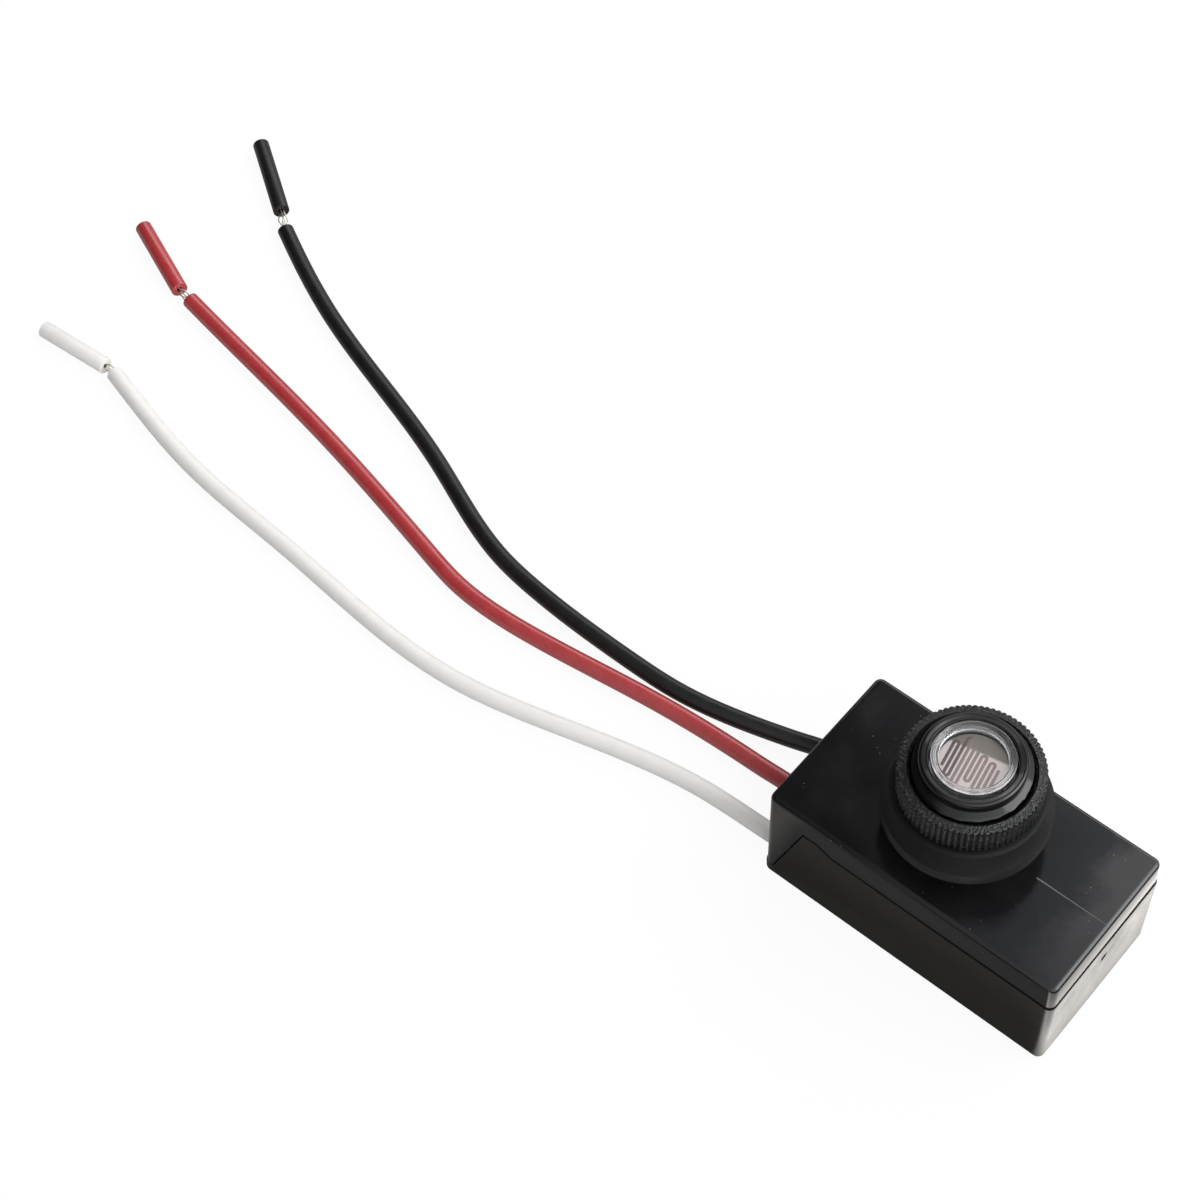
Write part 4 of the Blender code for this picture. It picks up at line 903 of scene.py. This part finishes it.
def make_lead(color, side, route, ends, material, strand_material):
    """One lead: its insulated cord, its bare strands and the slug on its tip."""
    exit_point = Vector((CASE_LOW.x, side, LIP_HEIGHT))
    knots = [exit_point + Vector((LEAD_INSIDE, 0, 0)), exit_point]
    first, *rest = route
    knots.append(Vector((first[0] * MM, first[1] * MM, (LIP_HEIGHT * 2 + LEAD_RADIUS) / 3)))
    knots += [flat_point(place) for place in rest]
    points = [Vector((p.x, p.y, max(p.z, LEAD_RADIUS))) for p in spline_points(knots, LEAD_STEP)]
    curve = bpy.data.curves.new(f"{color}_cord", "CURVE")
    curve.dimensions = "3D"
    curve.bevel_depth = LEAD_RADIUS
    curve.bevel_resolution = 7
    curve.use_fill_caps = True
    spline = curve.splines.new("POLY")
    spline.points.add(len(points) - 1)
    for target, point in zip(spline.points, points):
        target.co = (*point, 1.0)
    spline.use_smooth = True
    curve.materials.append(material)
    lead = bpy.data.objects.new(f"{color}_cord", curve)
    bpy.context.scene.collection.objects.link(lead)
    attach(lead, "root")
    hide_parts(f"{color}_lead")
    slug = make_slug(f"{color}_tip", ends, material, f"{color}_slug")
    strand = make_strand(f"{color}_wires", route, ends, f"{color}_strand", strand_material)


def make_leads():
    white = WHITE_LEAD_INSET + CASE_LOW.y
    black = CASE_HIGH.y - BLACK_LEAD_INSET
    tin = tinned_copper()
    make_lead("white", white, WHITE_ROUTE, WHITE_SLUG,
              insulation("white_cover", (0.76, 0.725, 0.69), (0.85, 0.82, 0.79), 0.42,
                         (0.55, 0.5, 0.42), 0.2, 0.5), tin)
    make_lead("red", (white + black) / 2, RED_ROUTE, RED_SLUG,
              insulation("red_cover", (0.36, 0.028, 0.032), (0.45, 0.04, 0.044), 0.29,
                         (0.22, 0.014, 0.014), 0.3, 1.0), tin)
    make_lead("black", black, BLACK_ROUTE, BLACK_SLUG,
              insulation("black_cover", (0.007, 0.007, 0.0066), (0.0095, 0.0092, 0.0086), 0.36,
                         (0.04, 0.04, 0.038), 0.3, 0.4), tin)


def make_knit_line(material):
    """Faint ridge on the plate where the plastic met behind the stem."""
    builder = bmesh.new()
    sections = []
    for x in np.linspace(KNIT_START, KNIT_END, 9):
        half = np.interp(x, (KNIT_START, KNIT_END), KNIT_WIDTHS) / 2
        sections.append([(x, -half, PLATE_TOP - KNIT_RISE), (x, -half * 0.4, PLATE_TOP + KNIT_RISE * 0.5),
                         (x, half * 0.4, PLATE_TOP + KNIT_RISE * 0.5), (x, half, PLATE_TOP - KNIT_RISE)])
    capped_strip(builder, sections)
    return link_mesh("knit_line", builder, material)


def dress_inner_nodes():
    """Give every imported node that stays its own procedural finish."""
    tin = bpy.data.materials["tinned_copper"]
    package = moulded("package_black", (0.014, 0.014, 0.015), (0.024, 0.024, 0.026), 0.5, 0.15)
    looks = {
        "cell_carrier": moulded("carrier_grey", (0.04, 0.04, 0.043), (0.06, 0.06, 0.065), 0.55, 0.2),
        "circuit_board": moulded("board_brown", (0.26, 0.15, 0.06), (0.36, 0.23, 0.11), 0.45, 0.4),
        "dropper_capacitor": moulded("film_yellow", (0.68, 0.43, 0.05), (0.8, 0.55, 0.08), 0.35, 0.3),
        "smoothing_capacitor": moulded("can_sleeve", (0.022, 0.03, 0.065), (0.035, 0.048, 0.095), 0.3, 0.3),
        "surge_varistor": moulded("varistor_blue", (0.035, 0.13, 0.4), (0.06, 0.19, 0.5), 0.35, 0.25),
        "zener_diode": moulded("glass_orange", (0.6, 0.2, 0.06), (0.76, 0.3, 0.1), 0.15, 0.3),
    }
    resistor = banded_resistor()
    for node in ("dropper_resistor", "sense_resistor", "gate_resistor"):
        looks[node] = resistor
    for node in ("triac", "transistor", "rectifier_diode_1", "rectifier_diode_2"):
        looks[node] = package
    for node in ("cell_lead_1", "cell_lead_2", "white_tail", "red_tail", "black_tail"):
        looks[node] = tin
    for node, material in looks.items():
        NODES[node].data.materials.clear()
        NODES[node].data.materials.append(material)


def make_camera():
    camera = bpy.data.objects.new("photo_camera", bpy.data.cameras.new("photo_camera"))
    bpy.context.scene.collection.objects.link(camera)
    camera.data.lens = CAMERA_LENS
    camera.data.sensor_width = SENSOR_WIDTH
    camera.data.clip_start = 0.01
    camera.data.clip_end = 50.0
    aim = (CAMERA_TARGET - CAMERA_POSITION).to_track_quat("-Z", "Y").to_matrix().to_4x4()
    roll = Matrix.Rotation(math.radians(CAMERA_ROLL), 4, "Z")
    camera.matrix_world = Matrix.Translation(CAMERA_POSITION) @ aim @ roll
    bpy.context.scene.camera = camera


def floor_white():
    """White to the camera. In reflections only it glows by place: bright past the free end as painted light,
    a little past the lead end, and dim in front of the case as painted shadow.
    """
    material = new_material("floor_white", (0.85, 0.85, 0.85), 0.9)
    links = material.node_tree.links
    shader = shader_of(material)
    shader.inputs["Specular IOR Level"].default_value = 0.0
    feed(material, "Base Color", blend_color(material, noise(material, 60.0, 2.0), (0.6, 0.6, 0.6),
                                             (0.64, 0.64, 0.64)))
    glow = add_node(material, "ShaderNodeEmission")
    glow.inputs["Strength"].default_value = FLOOR_GLOW
    path = add_node(material, "ShaderNodeLightPath")
    mix = add_node(material, "ShaderNodeMixShader")
    links.new(times(material, path.outputs["Is Camera Ray"], FLOOR_WHITENESS), mix.inputs["Fac"])
    links.new(shader.outputs["BSDF"], mix.inputs[1])
    links.new(glow.outputs["Emission"], mix.inputs[2])
    place = place_in(material)
    # Painted light and painted shadow that only reflections see, set by place on the floor
    right = spread(material, place["X"], *FLOOR_RIGHT_EDGE, 0.0, FLOOR_RIGHT_PAINTED_LIGHT)
    for near, far, level in (FLOOR_RIGHT_STEP, FLOOR_RIGHT_FADE):
        right = times(material, right, spread(material, place["X"], near, far, 1.0, level))
    left = spread(material, place["X"], *FLOOR_LEFT_EDGE, 0.0, FLOOR_LEFT_PAINTED_LIGHT)
    front = spread(material, place["Y"], *FLOOR_FRONT_EDGE, *FLOOR_FRONT_PAINTED_SHADOW)
    near, far, level = FLOOR_FRONT_FADE
    front = times(material, front, spread(material, place["Y"], near, far, 1.0, level))
    level = math_node(material, "MAXIMUM", right, math_node(material, "MAXIMUM", left, front))
    painted_reflection = add_node(material, "ShaderNodeEmission")
    painted_reflection.inputs["Color"].default_value = (*FLOOR_PAINTED_REFLECTION_COLOR, 1.0)
    links.new(level, painted_reflection.inputs["Strength"])
    mirror = add_node(material, "ShaderNodeMixShader")
    links.new(path.outputs["Is Glossy Ray"], mirror.inputs["Fac"])
    links.new(mix.outputs["Shader"], mirror.inputs[1])
    links.new(painted_reflection.outputs["Emission"], mirror.inputs[2])
    links.new(mirror.outputs["Shader"], material.node_tree.nodes["Material Output"].inputs["Surface"])
    return material


def make_stage():
    builder = bmesh.new()
    bmesh.ops.create_grid(builder, x_segments=1, y_segments=1, size=FLOOR_SIZE / 2,
                          matrix=Matrix.Translation((0, 0, -FLOOR_DROP)))
    mesh = bpy.data.meshes.new("floor")
    builder.to_mesh(mesh)
    builder.free()
    mesh.materials.append(floor_white())
    floor = bpy.data.objects.new("floor", mesh)
    bpy.context.scene.collection.objects.link(floor)


def add_light(name, position, target, size, power):
    lamp = bpy.data.lights.new(name, "AREA")
    lamp.shape = "RECTANGLE"
    lamp.size, lamp.size_y = size
    lamp.energy = power
    light = bpy.data.objects.new(name, lamp)
    bpy.context.scene.collection.objects.link(light)
    light.location = position
    light.rotation_euler = (Vector(target) - Vector(position)).to_track_quat("-Z", "Y").to_euler()


def make_world():
    """Sky that pieces mirror, brighter towards the right and with a card there. The camera sees it white."""
    world = bpy.data.worlds.new("studio")
    bpy.context.scene.world = world
    world.use_nodes = True
    background = world.node_tree.nodes["Background"]
    background.inputs["Color"].default_value = (*SKY_COLOR, 1.0)
    source = add_node(world, "ShaderNodeTexCoord")
    split = add_node(world, "ShaderNodeSeparateXYZ")
    world.node_tree.links.new(source.outputs["Generated"], split.inputs["Vector"])
    place = split.outputs
    over = spread(world, place["X"], *SKY_EDGE, *SKY_LEVELS)
    side = spread(world, place["X"], *SKY_SIDE_EDGE, 0.0, SKY_SIDE_LEVEL)
    near, far, level = SKY_HORIZON
    low = spread(world, place["Z"], near, far, level, 1.0)
    low = math_node(world, "MAXIMUM", low, spread(world, place["X"], *SKY_LIT_SIDE, 1.0, 0.0))
    card = times(world, spread(world, place["X"], *CARD_EDGE, 0.0, CARD_LEVEL),
                 spread(world, place["Z"], *CARD_TOP, 1.0, 0.0))
    path = add_node(world, "ShaderNodeLightPath")
    card = times(world, card, path.outputs["Is Glossy Ray"])
    card = times(world, card, spread(world, place["Y"], *CARD_BACK, 0.0, 1.0))
    lit = times(world, math_node(world, "ADD", math_node(world, "ADD", over, side), card), low)
    seen = math_node(world, "MAXIMUM", path.outputs["Is Camera Ray"], path.outputs["Is Transmission Ray"])
    unseen = times(world, lit, math_node(world, "SUBTRACT", 1.0, seen))
    total = math_node(world, "ADD", unseen, times(world, seen, SKY_SEEN))
    world.node_tree.links.new(total, background.inputs["Strength"])


def make_lights():
    make_world()
    add_light("key_right", **KEY_LAMP)
    add_light("back_soft", **BACK_LAMP)


def main():
    make_camera()
    make_leads()
    dressed_copy("upper_housing", "case_top", gloss_black(), outside_stem)
    dressed_copy("lower_housing", "case_bottom", satin_black())
    make_gate_mark()
    make_stem()
    make_nut()
    make_gasket()
    make_lens()
    make_cell()
    # The knit line's pale grey is a painted highlight along the ridge
    make_knit_line(moulded("knit_painted_highlight", (0.11, 0.11, 0.112), (0.2, 0.2, 0.2), 0.25, 0.3))
    dress_inner_nodes()
    make_stage()
    make_lights()
    bpy.context.scene.view_settings.view_transform = "Standard"


main()
